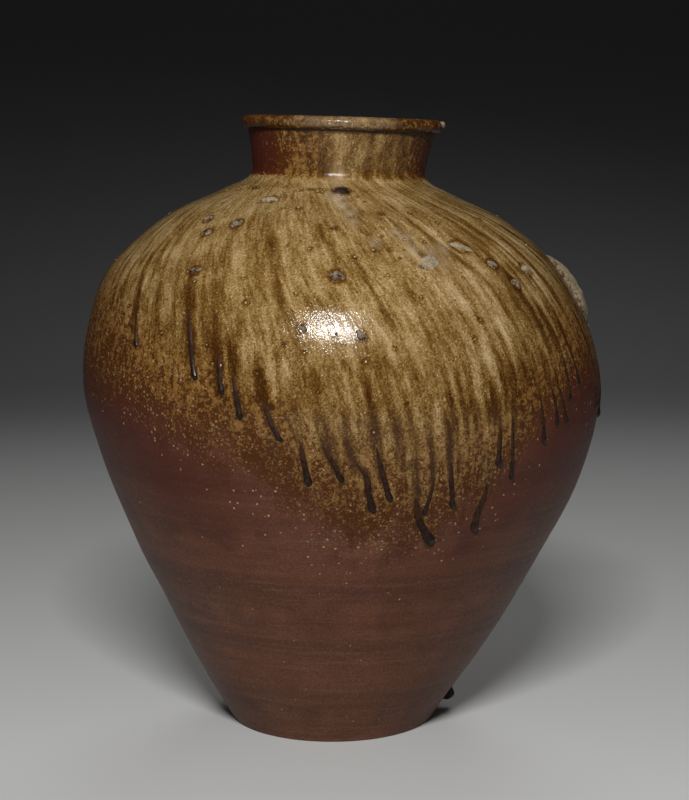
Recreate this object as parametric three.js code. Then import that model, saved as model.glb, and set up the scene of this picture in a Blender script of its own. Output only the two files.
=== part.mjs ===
// A large coil-built stoneware storage jar with natural ash glaze, as a three.js scene graph.
// Millimetres, +Z up. The origin is the centre of the flat foot, and the front of the jar faces -Y.
// Bearings are degrees round the jar from its front, positive towards +X.
// The wall is one curve, foot to lip. Every piece takes its size and place from that curve,
// so the stages sit on each other, and the glaze runs and kiln debris sit on the wall, at any size.
import * as THREE from "three";

// Outside of the wall
const FOOT_RADIUS = 80;
const BELLY_RADIUS = 200;
const BELLY_HEIGHT = 262;
const NECK_FOOT_HEIGHT = 424;
const NECK_FOOT_RADIUS = 69;
const NECK_WAIST_RADIUS = 67.5;
const NECK_WAIST_RISE = 13;
const NECK_TOP_RADIUS = 72.5;
const NECK_LENGTH = 36;

// Rolled lip: a bead of clay that overhangs the top of the neck
const LIP_HALF_WIDTH = 7;
const LIP_HALF_HEIGHT = 5.4;
const LIP_OVERHANG = 5.5;

// Clay thickness
const BASE_THICKNESS = 15;
const FOOT_WALL = 13.5;
const BELLY_WALL = 10;
const NECK_WALL = 9;
const FOOT_EDGE_ROUND = 2.5;
const INSIDE_FILLET = 7;
const INSIDE_FILLET_REACH = 16;

// Places up the wall are levels: 0 is the foot, 1 is the belly and 2 is the foot of the neck.
// These are the levels at which one drying stage of coils was luted to the next.
const LOWER_SEAM_LEVEL = 0.49;
const MIDDLE_SEAM_LEVEL = 0.94;
const SHOULDER_SEAM_LEVEL = 1.57;
const SEAM_LAP = 7;
const SEAM_SWELL = 0.5;
const SEAM_SWELL_REACH = 18;

// Joint line of a luted seam, and bedding line under whatever the fire stuck to the wall
const SEAM_GAP = 0.3;
const BED_GAP = 0.3;

// How full the wall is between foot and belly, and between belly and neck:
// [share of the way in radius, share of the way in height]
const LOWER_FULLNESS = [
  [0.308, 0.229],
  [0.6125, 0.496],
  [0.879, 0.763],
];
const UPPER_FULLNESS = [
  [0.05, 0.321],
  [0.229, 0.599],
  [0.523, 0.809],
  [0.824, 0.926],
];

// The hand-built jar leans and sags a little: at each share of the neck foot's height,
// how far its rings have slid towards +X, and how steeply they droop towards +X
const LEAN = [
  { share: 0, slide: 0, droop: 0 },
  { share: 0.26, slide: 2.5, droop: 0.05 },
  { share: 0.52, slide: 6, droop: 0.06 },
  { share: 0.71, slide: 7.5, droop: 0.045 },
  { share: 0.875, slide: 0, droop: 0 },
  { share: 1, slide: 5, droop: 0.03 },
  { share: 1.11, slide: 8, droop: 0.03 },
];

// Fineness of the surfaces
const COLUMNS = 60;
const OUTSIDE_STEP = 14;
const INSIDE_STEP = 34;
const LIP_STEPS = 11;
const CURVE_DIVISIONS = 1200;

const rad = THREE.MathUtils.degToRad;

// The wall's outside as a spline in the half plane (radius, height)
const between = (from, to, share) => from + (to - from) * share;
const wallCurve = new THREE.SplineCurve([
  new THREE.Vector2(FOOT_RADIUS, 0),
  ...LOWER_FULLNESS.map(
    ([r, h]) => new THREE.Vector2(between(FOOT_RADIUS, BELLY_RADIUS, r), BELLY_HEIGHT * h),
  ),
  new THREE.Vector2(BELLY_RADIUS, BELLY_HEIGHT),
  ...UPPER_FULLNESS.map(
    ([r, h]) =>
      new THREE.Vector2(
        between(BELLY_RADIUS, NECK_FOOT_RADIUS, r),
        between(BELLY_HEIGHT, NECK_FOOT_HEIGHT, h),
      ),
  ),
  new THREE.Vector2(NECK_FOOT_RADIUS, NECK_FOOT_HEIGHT),
  new THREE.Vector2(NECK_WAIST_RADIUS, NECK_FOOT_HEIGHT + NECK_WAIST_RISE),
  new THREE.Vector2(NECK_TOP_RADIUS, NECK_FOOT_HEIGHT + NECK_LENGTH),
]);
wallCurve.arcLengthDivisions = CURVE_DIVISIONS;
const WALL_LENGTH = wallCurve.getLength();

// Height of a level on the wall
const heightAt = (level) =>
  level < 1
    ? BELLY_HEIGHT * level
    : between(BELLY_HEIGHT, NECK_FOOT_HEIGHT, level - 1);
const LOWER_SEAM_HEIGHT = heightAt(LOWER_SEAM_LEVEL);
const MIDDLE_SEAM_HEIGHT = heightAt(MIDDLE_SEAM_LEVEL);
const SHOULDER_SEAM_HEIGHT = heightAt(SHOULDER_SEAM_LEVEL);
const SEAM_HEIGHTS = [LOWER_SEAM_HEIGHT, MIDDLE_SEAM_HEIGHT, SHOULDER_SEAM_HEIGHT];

// Distance along the wall at which it reaches a height, found by halving
function alongAtHeight(height) {
  let [low, high] = [0, WALL_LENGTH];
  for (let i = 0; i < 40; i++) {
    const middle = (low + high) / 2;
    if (wallCurve.getPointAt(middle / WALL_LENGTH).y < height) low = middle;
    else high = middle;
  }
  return (low + high) / 2;
}

const alongAtLevel = (level) => alongAtHeight(heightAt(level));

// Clay thickness at a distance along the wall: heavy at the foot, even at the belly, thinner at the neck,
// with a fillet of clay pressed into the corner above the floor
const BELLY_ALONG = alongAtHeight(BELLY_HEIGHT);
const FLOOR_ALONG = alongAtHeight(BASE_THICKNESS);
function thickness(along) {
  const fillet = INSIDE_FILLET * Math.exp(-(((along - FLOOR_ALONG) / INSIDE_FILLET_REACH) ** 2));
  if (along < BELLY_ALONG) return between(FOOT_WALL, BELLY_WALL, along / BELLY_ALONG) + fillet;
  return between(BELLY_WALL, NECK_WALL, (along - BELLY_ALONG) / (WALL_LENGTH - BELLY_ALONG));
}

// A point in the half plane, at a distance along the wall and an offset out of its surface.
// Each seam is a low swell, where the next stage's coil was pressed on.
function sectionPoint(along, offset = 0) {
  const share = THREE.MathUtils.clamp(along / WALL_LENGTH, 0, 1);
  const point = wallCurve.getPointAt(share);
  const tangent = wallCurve.getTangentAt(share);
  const swell = SEAM_HEIGHTS.reduce(
    (sum, height) => sum + SEAM_SWELL * Math.exp(-(((point.y - height) / SEAM_SWELL_REACH) ** 2)),
    0,
  );
  return new THREE.Vector2(
    point.x + tangent.y * (offset + swell),
    point.y - tangent.x * (offset + swell),
  );
}
const insidePoint = (along) => sectionPoint(along, -thickness(along));

// Slide and droop of the ring at a height, eased between the stations of LEAN
function leanAt(height) {
  const share = height / NECK_FOOT_HEIGHT;
  const next = Math.max(1, LEAN.findIndex((station) => station.share > share));
  const to = share >= LEAN.at(-1).share ? LEAN.at(-1) : LEAN[next];
  const from = LEAN[LEAN.indexOf(to) - 1];
  const ease = THREE.MathUtils.smoothstep(share, from.share, to.share);
  return {
    slide: between(from.slide, to.slide, ease),
    droop: between(from.droop, to.droop, ease),
  };
}

// Where a point of the true round form lies on the leaning jar
function placed(bearing, radius, height) {
  const lean = leanAt(height);
  const across = radius * Math.sin(bearing);
  return new THREE.Vector3(
    lean.slide + across,
    -radius * Math.cos(bearing),
    height - lean.droop * across,
  );
}

// A closed outline in the half plane turned round the axis, then leaned as the jar leans
function turned(outline) {
  const geometry = new THREE.LatheGeometry(outline, COLUMNS);
  const position = geometry.getAttribute("position");
  for (let i = 0; i < position.count; i++) {
    const radius = Math.hypot(position.getX(i), position.getZ(i));
    const bearing = Math.atan2(position.getX(i), position.getZ(i));
    const at = placed(bearing, radius, position.getY(i));
    position.setXYZ(i, at.x, at.y, at.z);
  }
  geometry.computeVertexNormals();
  return geometry;
}

// Evenly spaced stops from one distance to another, both included
function stops(from, to, step) {
  const count = Math.max(2, Math.ceil(Math.abs(to - from) / step));
  return Array.from({ length: count + 1 }, (_, i) => between(from, to, i / count));
}

// One stage of the wall, between two luted seams. The stage above laps down the inside of the one below.
// No part of it stands above the ceiling height, which cuts the top of the neck level.
function wallStage({ fromHeight, toHeight, lapBelow = 0, lapAbove = 0, ceiling = Infinity }) {
  const from = alongAtHeight(fromHeight) + SEAM_GAP / 2;
  const to = alongAtHeight(toHeight) - SEAM_GAP / 2;
  const outline = [
    ...stops(from, to, OUTSIDE_STEP).map((along) => sectionPoint(along)),
    ...stops(to - lapAbove, from - lapBelow, INSIDE_STEP).map(insidePoint),
  ].map((point) => new THREE.Vector2(point.x, Math.min(point.y, ceiling)));
  return turned([...outline, outline[0]]);
}

// The slab that the first coil stands on: flat beneath, with a rounded edge
function baseSlab() {
  const top = FLOOR_ALONG - SEAM_GAP / 2;
  const rim = sectionPoint(top);
  const round = stops(0, Math.PI / 2, Math.PI / 4).map((turn) => {
    const corner = sectionPoint(FOOT_EDGE_ROUND);
    return new THREE.Vector2(
      corner.x - FOOT_EDGE_ROUND * (1 - Math.sin(turn)),
      corner.y - corner.y * Math.cos(turn),
    );
  });
  return turned([
    new THREE.Vector2(0, 0),
    ...round,
    ...stops(FOOT_EDGE_ROUND * 2, top, OUTSIDE_STEP / 2).map((along) => sectionPoint(along)),
    new THREE.Vector2(0, rim.y),
  ]);
}

// The lip is an oval bead with a flat cut beneath, where it sits on the neck.
// lipPoint gives its surface at a turn round the bead: 0 is outermost and 90 degrees is the top.
const LIP_SEAT_HEIGHT = NECK_FOOT_HEIGHT + NECK_LENGTH + SEAM_GAP;
const LIP_CENTRE = new THREE.Vector2(
  NECK_TOP_RADIUS + LIP_OVERHANG - LIP_HALF_WIDTH,
  LIP_SEAT_HEIGHT + LIP_HALF_HEIGHT * 0.8,
);
const LIP_SEAT_TURN = Math.asin(0.8);
function lipPoint(turn, offset = 0) {
  return new THREE.Vector2(
    LIP_CENTRE.x + (LIP_HALF_WIDTH + offset) * Math.cos(turn),
    LIP_CENTRE.y + (LIP_HALF_HEIGHT + offset) * Math.sin(turn),
  );
}
function rolledLip() {
  const outline = stops(0, 1, 1 / LIP_STEPS).map((share) =>
    lipPoint(between(-LIP_SEAT_TURN, Math.PI + LIP_SEAT_TURN, share)),
  );
  return turned([...outline, outline[0]]);
}

// A body skinned over rings of points, each ring running the same way round,
// closed at each end to a single point
function skinned(startPoint, rings, endPoint) {
  const points = [startPoint, ...rings.flat(), endPoint];
  const count = rings[0].length;
  const at = (ring, i) => 1 + ring * count + (i % count);
  const faces = [];
  for (let i = 0; i < count; i++) {
    faces.push(0, at(0, i + 1), at(0, i));
    for (let ring = 0; ring + 1 < rings.length; ring++) {
      faces.push(at(ring, i), at(ring, i + 1), at(ring + 1, i));
      faces.push(at(ring, i + 1), at(ring + 1, i + 1), at(ring + 1, i));
    }
    faces.push(at(rings.length - 1, i), at(rings.length - 1, i + 1), points.length - 1);
  }
  const geometry = new THREE.BufferGeometry();
  geometry.setAttribute(
    "position",
    new THREE.Float32BufferAttribute(points.flatMap((point) => point.toArray()), 3),
  );
  geometry.setIndex(faces);
  geometry.computeVertexNormals();
  return geometry;
}

// Surfaces that something can be bedded on. Each takes a bearing, a place along the surface and an
// offset out of it. The wall's place is a distance along it, and the lip's an arc length round its bead.
const onWall = (bearing, along, offset) => {
  const section = sectionPoint(along, offset);
  return placed(bearing, section.x, section.y);
};
const onLip = (bearing, arc, offset) => {
  const section = lipPoint(arc / LIP_HALF_HEIGHT, offset);
  return placed(bearing, section.x, section.y);
};

// A run of molten ash glass down the wall: a slim, low bead that starts thin, thickens as it goes
// and ends in a drop. Its path is a smooth curve through [bearing, distance along the wall] points.
// The slices of the drop are given in drop lengths back from its tip.
const RUN_STEPS = 6;
const RUN_SECTION = [1, 0.62, 0, -0.62, -1];
const DROP_LENGTH = 0.9;
const DROP_SLICES = [1.4, 0.8, 0.4, 0.12];
const DROP_WIDENING = 0.35;
const DROP_THICKENING = 0.6;
function glazeRun({ path, width, thick }) {
  const line = new THREE.SplineCurve(
    path.map(([bearing, along]) => new THREE.Vector2(rad(bearing), along)),
  );
  const drop = (width * DROP_LENGTH) / Math.abs(line.points.at(-1).y - line.points[0].y);
  const body = stops(0, 1 - 2 * drop, 1 / RUN_STEPS).slice(1);
  const slices = [...body, ...DROP_SLICES.map((lengths) => 1 - lengths * drop)];
  const rings = slices.map((share) => {
    const { x: bearing, y: along } = line.getPoint(share);
    const back = (1 - share) / drop;
    const bulge = Math.exp(-((back - 0.8) ** 2));
    const closing = back < 1 ? Math.sqrt(back * (2 - back)) : 1;
    const half = (width / 2) * (1 + DROP_WIDENING * bulge) * closing * between(0.6, 1, share);
    const rise = thick * (1 + DROP_THICKENING * bulge) * closing * between(0.4, 1, share);
    const radius = sectionPoint(along).x;
    const outside = RUN_SECTION.map((side) =>
      onWall(
        bearing + (side * half) / radius,
        along,
        BED_GAP + rise * Math.sqrt(1 - side * side),
      ),
    );
    return [...outside, onWall(bearing, along, BED_GAP)];
  });
  const end = (share) => {
    const { x, y } = line.getPoint(share);
    return onWall(x, y, BED_GAP + thick * 0.1);
  };
  return skinned(end(0), rings, end(1));
}

// A crumb, stone or shard stuck to the jar by the glaze: a rough dome bedded on the surface beneath.
// ragged is how uneven its edge and top are, and turn is how far it is turned on the surface.
const LUMP_RINGS = [0.35, 0.7, 0.92];
function stuckLump(lump) {
  const { surface, bearing, along, across, up, thick, turn = 0 } = lump;
  const { ragged = 0.15, sides = 12, bedRings = 2 } = lump;
  const radius = surface(0, along, 0).distanceTo(surface(Math.PI, along, 0)) / 2;
  const uneven = (a) =>
    1 + ragged * (Math.sin(2 * a + bearing) + 0.7 * Math.sin(3 * a + 2.3 * along) + 0.5 * Math.sin(5 * a));
  const at = (share, a, offset) => {
    const [x, y] = [Math.cos(a) * across * share * uneven(a), Math.sin(a) * up * share * uneven(a)];
    const [side, rise] = [
      x * Math.cos(turn) - y * Math.sin(turn),
      x * Math.sin(turn) + y * Math.cos(turn),
    ];
    return surface(rad(bearing) + side / radius, along + rise, offset);
  };
  const dome = (share, a) =>
    BED_GAP + thick * (1 - share ** 2.6) * (1 + ragged * Math.sin(4 * a + 9 * share + bearing));
  const round = Array.from({ length: sides }, (_, i) => (i / sides) * 2 * Math.PI);
  const rings = [
    ...stops(0, 1, 1 / bedRings)
      .slice(1)
      .map((share) => round.map((a) => at(share, a, BED_GAP))),
    ...LUMP_RINGS.toReversed().map((share) => round.map((a) => at(share, a, dome(share, a)))),
  ];
  return skinned(at(0, 0, BED_GAP), rings, at(0, 0, BED_GAP + thick));
}

// Fired clay and what the fire put on it
const finish = (color, roughness) =>
  new THREE.MeshStandardMaterial({ color, roughness, metalness: 0 });
const FINISHES = {
  bareClay: finish(0x64382c, 0.62),
  flashedClay: finish(0x6d2f1c, 0.45),
  ashGlaze: finish(0x8f6f3e, 0.22),
  runGlass: finish(0x2a190d, 0.12),
  kilnGrit: finish(0x8b8176, 0.7),
  kilnShard: finish(0xa8967c, 0.85),
};

const jar = new THREE.Group();
function add(name, geometry, material) {
  const mesh = new THREE.Mesh(geometry, material);
  mesh.name = name;
  jar.add(mesh);
}

// The clay body, foot to lip
add("base_slab", baseSlab(), FINISHES.bareClay);
const NECK_TOP_HEIGHT = NECK_FOOT_HEIGHT + NECK_LENGTH;
const WALL_STAGES = [
  {
    name: "lower_wall",
    fromHeight: BASE_THICKNESS,
    toHeight: LOWER_SEAM_HEIGHT,
    lapAbove: SEAM_LAP,
    material: FINISHES.bareClay,
  },
  {
    name: "middle_wall",
    fromHeight: LOWER_SEAM_HEIGHT,
    toHeight: MIDDLE_SEAM_HEIGHT,
    lapBelow: SEAM_LAP,
    lapAbove: SEAM_LAP,
    material: FINISHES.flashedClay,
  },
  {
    name: "belly_wall",
    fromHeight: MIDDLE_SEAM_HEIGHT,
    toHeight: SHOULDER_SEAM_HEIGHT,
    lapBelow: SEAM_LAP,
    lapAbove: SEAM_LAP,
    material: FINISHES.ashGlaze,
  },
  {
    name: "shoulder_wall",
    fromHeight: SHOULDER_SEAM_HEIGHT,
    toHeight: NECK_FOOT_HEIGHT,
    lapBelow: SEAM_LAP,
    material: FINISHES.ashGlaze,
  },
  {
    name: "neck_wall",
    fromHeight: NECK_FOOT_HEIGHT,
    toHeight: NECK_TOP_HEIGHT,
    ceiling: NECK_TOP_HEIGHT,
    material: FINISHES.ashGlaze,
  },
];
WALL_STAGES.forEach((stage) => add(stage.name, wallStage(stage), stage.material));
add("rolled_lip", rolledLip(), FINISHES.ashGlaze);

// Runs of glass, left to right across the front: [bearing, level] points from top to drop
const GLAZE_RUNS = [
  { path: [[-49.8, 1.414], [-48.8, 1.315], [-47.8, 1.235]], width: 3.2, thick: 0.9 },
  { path: [[-34, 1.481], [-32.8, 1.346], [-31.5, 1.222], [-30.2, 1.136]], width: 4.2, thick: 1.3 },
  { path: [[-25.5, 1.278], [-24.8, 1.173], [-24, 1.086]], width: 4, thick: 1.1 },
  { path: [[-22, 1.191], [-20.8, 1.08], [-20, 0.992]], width: 4, thick: 1.2 },
  { path: [[-15.5, 1.086], [-13.5, 0.985], [-11.5, 0.943]], width: 3.6, thick: 1 },
  { path: [[-7.8, 0.947], [-7, 0.885], [-6.2, 0.828]], width: 4.6, thick: 1.5 },
  { path: [[-3.4, 0.943], [-1, 0.889], [0.6, 0.844]], width: 4, thick: 1.2 },
  { path: [[2.8, 0.908], [5.4, 0.863], [6, 0.821], [7.3, 0.763]], width: 4.8, thick: 1.7 },
  { path: [[6.8, 0.962], [8.5, 0.882], [10.8, 0.794]], width: 4.2, thick: 1.2 },
  { path: [[16, 0.817], [17.2, 0.756], [19.2, 0.714], [22, 0.672]], width: 6.4, thick: 2 },
  { path: [[19.6, 0.863], [19.2, 0.805], [18.6, 0.756]], width: 3.4, thick: 1 },
  { path: [[22.6, 0.92], [23.8, 0.844], [25, 0.775]], width: 4.2, thick: 1.4 },
  { path: [[32.2, 0.855], [32.6, 0.809], [31.8, 0.763], [32.2, 0.702]], width: 5.4, thick: 1.9 },
  { path: [[33.6, 0.992], [34, 0.935], [34.5, 0.889]], width: 4.6, thick: 1.5 },
  { path: [[36.4, 1.086], [37.2, 0.962], [39, 0.847]], width: 3.8, thick: 1.3 },
  { path: [[44.6, 1.117], [45.6, 1.012], [47, 0.939]], width: 3.6, thick: 1.3 },
  { path: [[48.2, 1.154], [49.8, 1.068], [51, 0.981]], width: 3.2, thick: 1 },
  { path: [[51.2, 1.148], [52.9, 1.062], [55, 0.981]], width: 3.6, thick: 1.2 },
  { path: [[54.4, 1.278], [55, 1.167], [55.8, 1.068]], width: 3, thick: 1 },
  { path: [[58.2, 1.296], [59.4, 1.21], [60.2, 1.13]], width: 3, thick: 1 },
  { path: [[71, 1.235], [72.5, 1.123], [73.4, 1]], width: 3.6, thick: 1.4 },
  { path: [[80, 1.272], [81, 1.136], [82, 0.962]], width: 4, thick: 1.8 },
  { path: [[128, 1.444], [128.5, 1.309], [129.5, 1.173]], width: 4, thick: 1.2 },
];

// A broken piece of another pot, fused to the right of the shoulder, with a run of the glass that
// pooled under it: [bearing past the shard's middle, distance down the wall from the shard's lower edge]
const SHARD = { bearing: 95, level: 1.481, across: 30, up: 28, thick: 8.5 };
const SHARD_ALONG = alongAtLevel(SHARD.level);
const SHARD_RUN = {
  path: [
    [8, 3],
    [9, 20],
    [10, 42],
  ],
  width: 4,
  thick: 1.4,
};
const onLevels = ([bearing, level]) => [bearing, alongAtLevel(level)];
const belowShard = ([past, down]) => [SHARD.bearing + past, SHARD_ALONG - SHARD.up - down];
[
  ...GLAZE_RUNS.map((run) => ({ ...run, path: run.path.map(onLevels) })),
  { ...SHARD_RUN, path: SHARD_RUN.path.map(belowShard) },
].forEach((run, i) =>
  add(`glaze_run_${String(i + 1).padStart(2, "0")}`, glazeRun(run), FINISHES.runGlass),
);
add(
  "kiln_shard",
  stuckLump({
    ...SHARD,
    surface: onWall,
    along: SHARD_ALONG,
    ragged: 0.07,
    sides: 24,
    bedRings: 5,
  }),
  FINISHES.kilnShard,
);

// Kiln grit that fell on the shoulder: [bearing, level, half width, half length, thickness, turn]
const GRIT = [
  [1.2, 1.605, 6, 4.2, 1.8, 20],
  [24.8, 1.654, 7.5, 5, 1, 10],
  [37, 1.716, 8, 3, 1.4, -25],
  [43.8, 1.636, 5, 4, 2, -30],
  [47.8, 1.556, 4.6, 3.6, 2.2, 10],
  [55.8, 1.605, 6.5, 3.6, 2.4, -30],
  [-31.8, 1.809, 5.5, 3.6, 2, 30],
  [-45, 1.821, 4.5, 3, 1.8, 20],
  [-39.8, 1.769, 4.5, 3, 1.6, 0],
  [-29.5, 1.907, 6, 4, 1.6, 15],
  [2, 1.951, 7, 4.5, 2, 0],
  [-34.5, 1.615, 5, 2.8, 1.6, 25],
  [4.5, 1.37, 3.8, 3.2, 2, 0],
  [-7.3, 1.393, 3, 2.8, 1.8, 0],
];
GRIT.forEach(([bearing, level, across, up, thick, turn], i) =>
  add(
    `kiln_grit_${String(i + 1).padStart(2, "0")}`,
    stuckLump({
      surface: onWall,
      bearing,
      along: alongAtLevel(level),
      across,
      up,
      thick,
      turn: rad(turn),
    }),
    FINISHES.kilnGrit,
  ),
);

// A clod of kiln floor beside the foot, and a crumb on the lip
const CLOD = { bearing: 101, level: 0.052, across: 10, up: 7.5, thick: 9 };
const LIP_CRUMB = { bearing: 84, across: 4.5, up: 3.4, thick: 2 };
const LIP_CRUMB_TURN = 20;
add(
  "foot_clod",
  stuckLump({ ...CLOD, surface: onWall, along: alongAtLevel(CLOD.level), sides: 14 }),
  FINISHES.runGlass,
);
add(
  "lip_crumb",
  stuckLump({ ...LIP_CRUMB, surface: onLip, along: rad(LIP_CRUMB_TURN) * LIP_HALF_HEIGHT }),
  FINISHES.kilnGrit,
);

export default jar;
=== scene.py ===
"""Dresses a large wood-fired stoneware storage jar: clay, ash glaze, runs of glass and kiln debris.

Lengths are in metres and bearings in degrees round the jar from its front, positive to the right.
The wall is one curve in a half plane, turned round the jar's axis and leaned a little. Its places are
`along`, the distance up that curve from the foot. Every piece is worked out from the same curve.
"""

from functools import partial, reduce

import bpy
import numpy as np
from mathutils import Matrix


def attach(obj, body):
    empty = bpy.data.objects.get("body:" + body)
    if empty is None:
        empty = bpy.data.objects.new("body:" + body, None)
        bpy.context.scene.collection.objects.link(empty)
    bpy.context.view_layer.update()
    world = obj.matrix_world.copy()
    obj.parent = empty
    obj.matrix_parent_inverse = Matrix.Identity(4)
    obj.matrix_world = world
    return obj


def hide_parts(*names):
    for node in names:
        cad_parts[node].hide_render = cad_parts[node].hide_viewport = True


bl_info = {
    "name": "Wood-fired Storage Jar",
    "version": (1, 0, 0),
    "blender": (4, 5, 0),
    "location": "View3D > Sidebar > Jar",
    "description": "Builds a coil-built stoneware jar with natural ash glaze, runs and kiln debris",
    "category": "Object",
}

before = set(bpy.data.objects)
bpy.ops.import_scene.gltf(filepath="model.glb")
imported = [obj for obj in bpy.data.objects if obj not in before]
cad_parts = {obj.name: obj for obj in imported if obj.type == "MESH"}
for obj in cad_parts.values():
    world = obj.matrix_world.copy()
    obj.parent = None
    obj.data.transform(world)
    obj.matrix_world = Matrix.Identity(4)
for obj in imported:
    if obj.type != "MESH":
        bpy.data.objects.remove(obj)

MM = 0.001
BODY = "root"


def linear(code):
    """An sRGB hex colour as linear red, green, blue and full alpha."""
    values = [int(code[i : i + 2], 16) / 255 for i in (1, 3, 5)]
    return [v / 12.92 if v <= 0.04045 else ((v + 0.055) / 1.055) ** 2.4 for v in values] + [1.0]


def length(name, description, millimetres):
    """A length property, with its default in millimetres."""
    return bpy.props.FloatProperty(
        name=name, description=description, default=millimetres * MM, min=0.0, unit="LENGTH"
    )


def colour(name, description, code):
    """A colour property, with its default as an sRGB hex code."""
    return bpy.props.FloatVectorProperty(
        name=name, description=description, default=linear(code), size=4, min=0.0, max=1.0,
        subtype="COLOR",
    )


class JarWallSizes(bpy.types.PropertyGroup):
    """Sizes of the clay wall, foot to lip"""

    foot_radius: length("Foot radius", "Outside radius where the jar stands", 80)
    belly_radius: length("Belly radius", "Outside radius at the widest ring", 200)
    belly_height: length("Belly height", "Height of the widest ring", 262)
    neck_foot_height: length("Neck foot height", "Height where the neck rises from the shoulder", 424)
    neck_foot_radius: length("Neck foot radius", "Outside radius at the foot of the neck", 69)
    neck_waist_radius: length("Neck waist radius", "Outside radius at the neck's narrowest ring", 67.5)
    neck_waist_rise: length("Neck waist rise", "Height of the narrowest ring above the neck's foot", 13)
    neck_top_radius: length("Neck top radius", "Outside radius just under the lip", 72.5)
    neck_length: length("Neck length", "Height of the neck up to the underside of the lip", 36)
    lip_half_width: length("Lip half width", "Half the width of the rolled lip", 7)
    lip_half_height: length("Lip half height", "Half the height of the rolled lip", 5.4)
    lip_overhang: length("Lip overhang", "How far the lip stands out past the neck", 5.5)
    base_thickness: length("Base thickness", "Thickness of the slab the jar stands on", 15)
    foot_wall: length("Foot wall", "Wall thickness near the foot", 13.5)
    belly_wall: length("Belly wall", "Wall thickness at the belly", 10)
    neck_wall: length("Neck wall", "Wall thickness of the neck", 9)
    seam_swell: length("Seam swell", "Height of the low swell at each luted seam", 0.5)
    seam_reach: length("Seam reach", "How far a seam's swell reaches up and down the wall", 18)
    seam_lap: length("Seam lap", "How far each stage laps down the inside of the one below", 7)


class JarSurfaceSizes(bpy.types.PropertyGroup):
    """Sizes of the marks of making and firing"""

    skin_depth: length("Skin depth", "How far the dressed wall lies inside the plain one", 0.4)
    wobble: length("Wobble", "Unevenness of the hand-built wall", 0.14)
    band_spacing: length("Scrape spacing", "Height between scraped bands on the clay", 17)
    band_depth: length("Scrape depth", "Depth of the scraped bands", 0.13)
    streak_relief: length("Streak relief", "Thickness of the glaze's streaks", 0.22)
    clay_grain: length("Clay grain", "Spacing of the clay's sandy grain", 1.5)
    glaze_mottle: length("Glaze mottle", "Spacing of the glaze's fine mottling", 1.5)
    ash_fleck: length("Ash fleck", "Spacing of the pale ash flecks", 2.7)
    pit_spacing: length("Pit spacing", "Spacing of the pits and pimples in the glaze", 5)
    outside_step: length("Outside step", "Spacing of the wall's outer mesh", 1.25)


class JarFinishes(bpy.types.PropertyGroup):
    """Colours of the fired clay, the glaze and the kiln debris"""

    ash_cream: colour("Cream ash", "The palest grains of the glaze", "#cfb791")
    ash_pale: colour("Pale ash", "Thin glaze, or glaze clouded by small crystals", "#b59c75")
    ash_tan: colour("Tan ash", "Ordinary glaze", "#95794a")
    ash_olive: colour("Olive ash", "Thicker glaze in the streaks", "#6b4c20")
    ash_dark: colour("Dark ash", "Glaze pooled in the deepest streaks", "#40240b")
    # Milky ash is also a painted sheen on the lip's front and down the front of the neck's foot
    ash_milk_and_sheen: colour("Milky ash", "Glaze turned milky by small crystals", "#b0a08a")
    ash_amber: colour("Amber ash", "Grains of thin glaze at its edge", "#845c2b")
    clay_brown: colour("Brown clay", "Bare clay low on the jar", "#81533d")
    clay_dark: colour("Dark clay", "Shaded hollows of the bare clay", "#58372b")
    clay_sand: colour("Clay sand", "Lighter sand grains and wiped streaks in the clay", "#8c6955")
    # Also painted shade: this dark red is laid on most at the sides, away from the front
    clay_red_and_side_shade: colour("Red clay", "Clay flashed red by ash vapour near the glaze", "#481709")
    clay_stained: colour("Stained clay", "Clay under the thinnest ash at the glaze's edge", "#4c2707")
    fleck: colour("Ash fleck", "Pale flecks of unmelted ash", "#bc9d6e")
    glass_thin: colour("Thin glass", "Start of a run, where it is thin", "#381b05")
    glass_deep: colour("Deep glass", "Drop at the end of a run", "#170901")
    crumb_pale: colour("Pale crumb", "Pale crumbs of kiln wall", "#a4957b")
    crumb_dark: colour("Dark crumb", "Dark specks of the crumbs and the clod", "#2c1f12")
    shard_clay: colour("Shard clay", "Broken piece of another pot, and grit of its clay", "#8d7c64")
    floor: colour("Floor", "Plain pale floor", "#cacac8")
    # Painted shade: the paper darkens where it rises behind the jar, and darker still high up
    backdrop: colour("Backdrop", "Where the paper rises behind the jar", "#505051")
    backdrop_top_shade: colour("Backdrop top", "The backdrop high behind the jar", "#1c1c1d")
    floor_bounce: colour("Floor bounce", "The paper as it lights the jar", "#6e6e6c")


# Fullness of the wall from foot to belly, then from belly to neck: (share of radius, share of height)
LOWER_FULLNESS = ((0.308, 0.229), (0.6125, 0.496), (0.879, 0.763))
UPPER_FULLNESS = ((0.05, 0.321), (0.229, 0.599), (0.523, 0.809), (0.824, 0.926))

# The jar leans and sags: (share of the neck foot's height, slide towards +X in mm, droop towards +X)
LEAN = (
    (0, 0, 0), (0.26, 2.5, 0.05), (0.52, 6, 0.06), (0.71, 7.5, 0.045), (0.875, 0, 0), (1, 5, 0.03),
    (1.11, 8, 0.03),
)

# Levels of the luted seams: 0 is the foot, 1 the belly, 2 the foot of the neck
SEAM_LEVELS = (0.49, 0.94, 1.57)

# Lower edge of the glaze round the jar: (bearing, height in mm, height in mm over which it fades)
GLAZE_EDGE = (
    (-180, 300, 24), (-150, 318, 22), (-120, 330, 24), (-95, 328, 26), (-83, 318, 26),
    (-64, 306, 24), (-53, 297, 20), (-44, 280, 18), (-38, 271, 18), (-30, 267, 18), (-22, 261, 18),
    (-15, 253, 18), (-10, 241, 19), (-4, 226, 20), (1, 214, 20), (5, 210, 20), (8.5, 211, 20),
    (15, 211, 20), (20, 215, 20), (25, 223, 19), (29, 232, 18), (33, 242, 17), (37, 255, 15),
    (44, 281, 14), (50, 297, 13), (56, 305, 13), (68, 312, 15), (95, 302, 16), (120, 312, 18),
    (150, 300, 20), (180, 300, 24),
)

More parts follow.
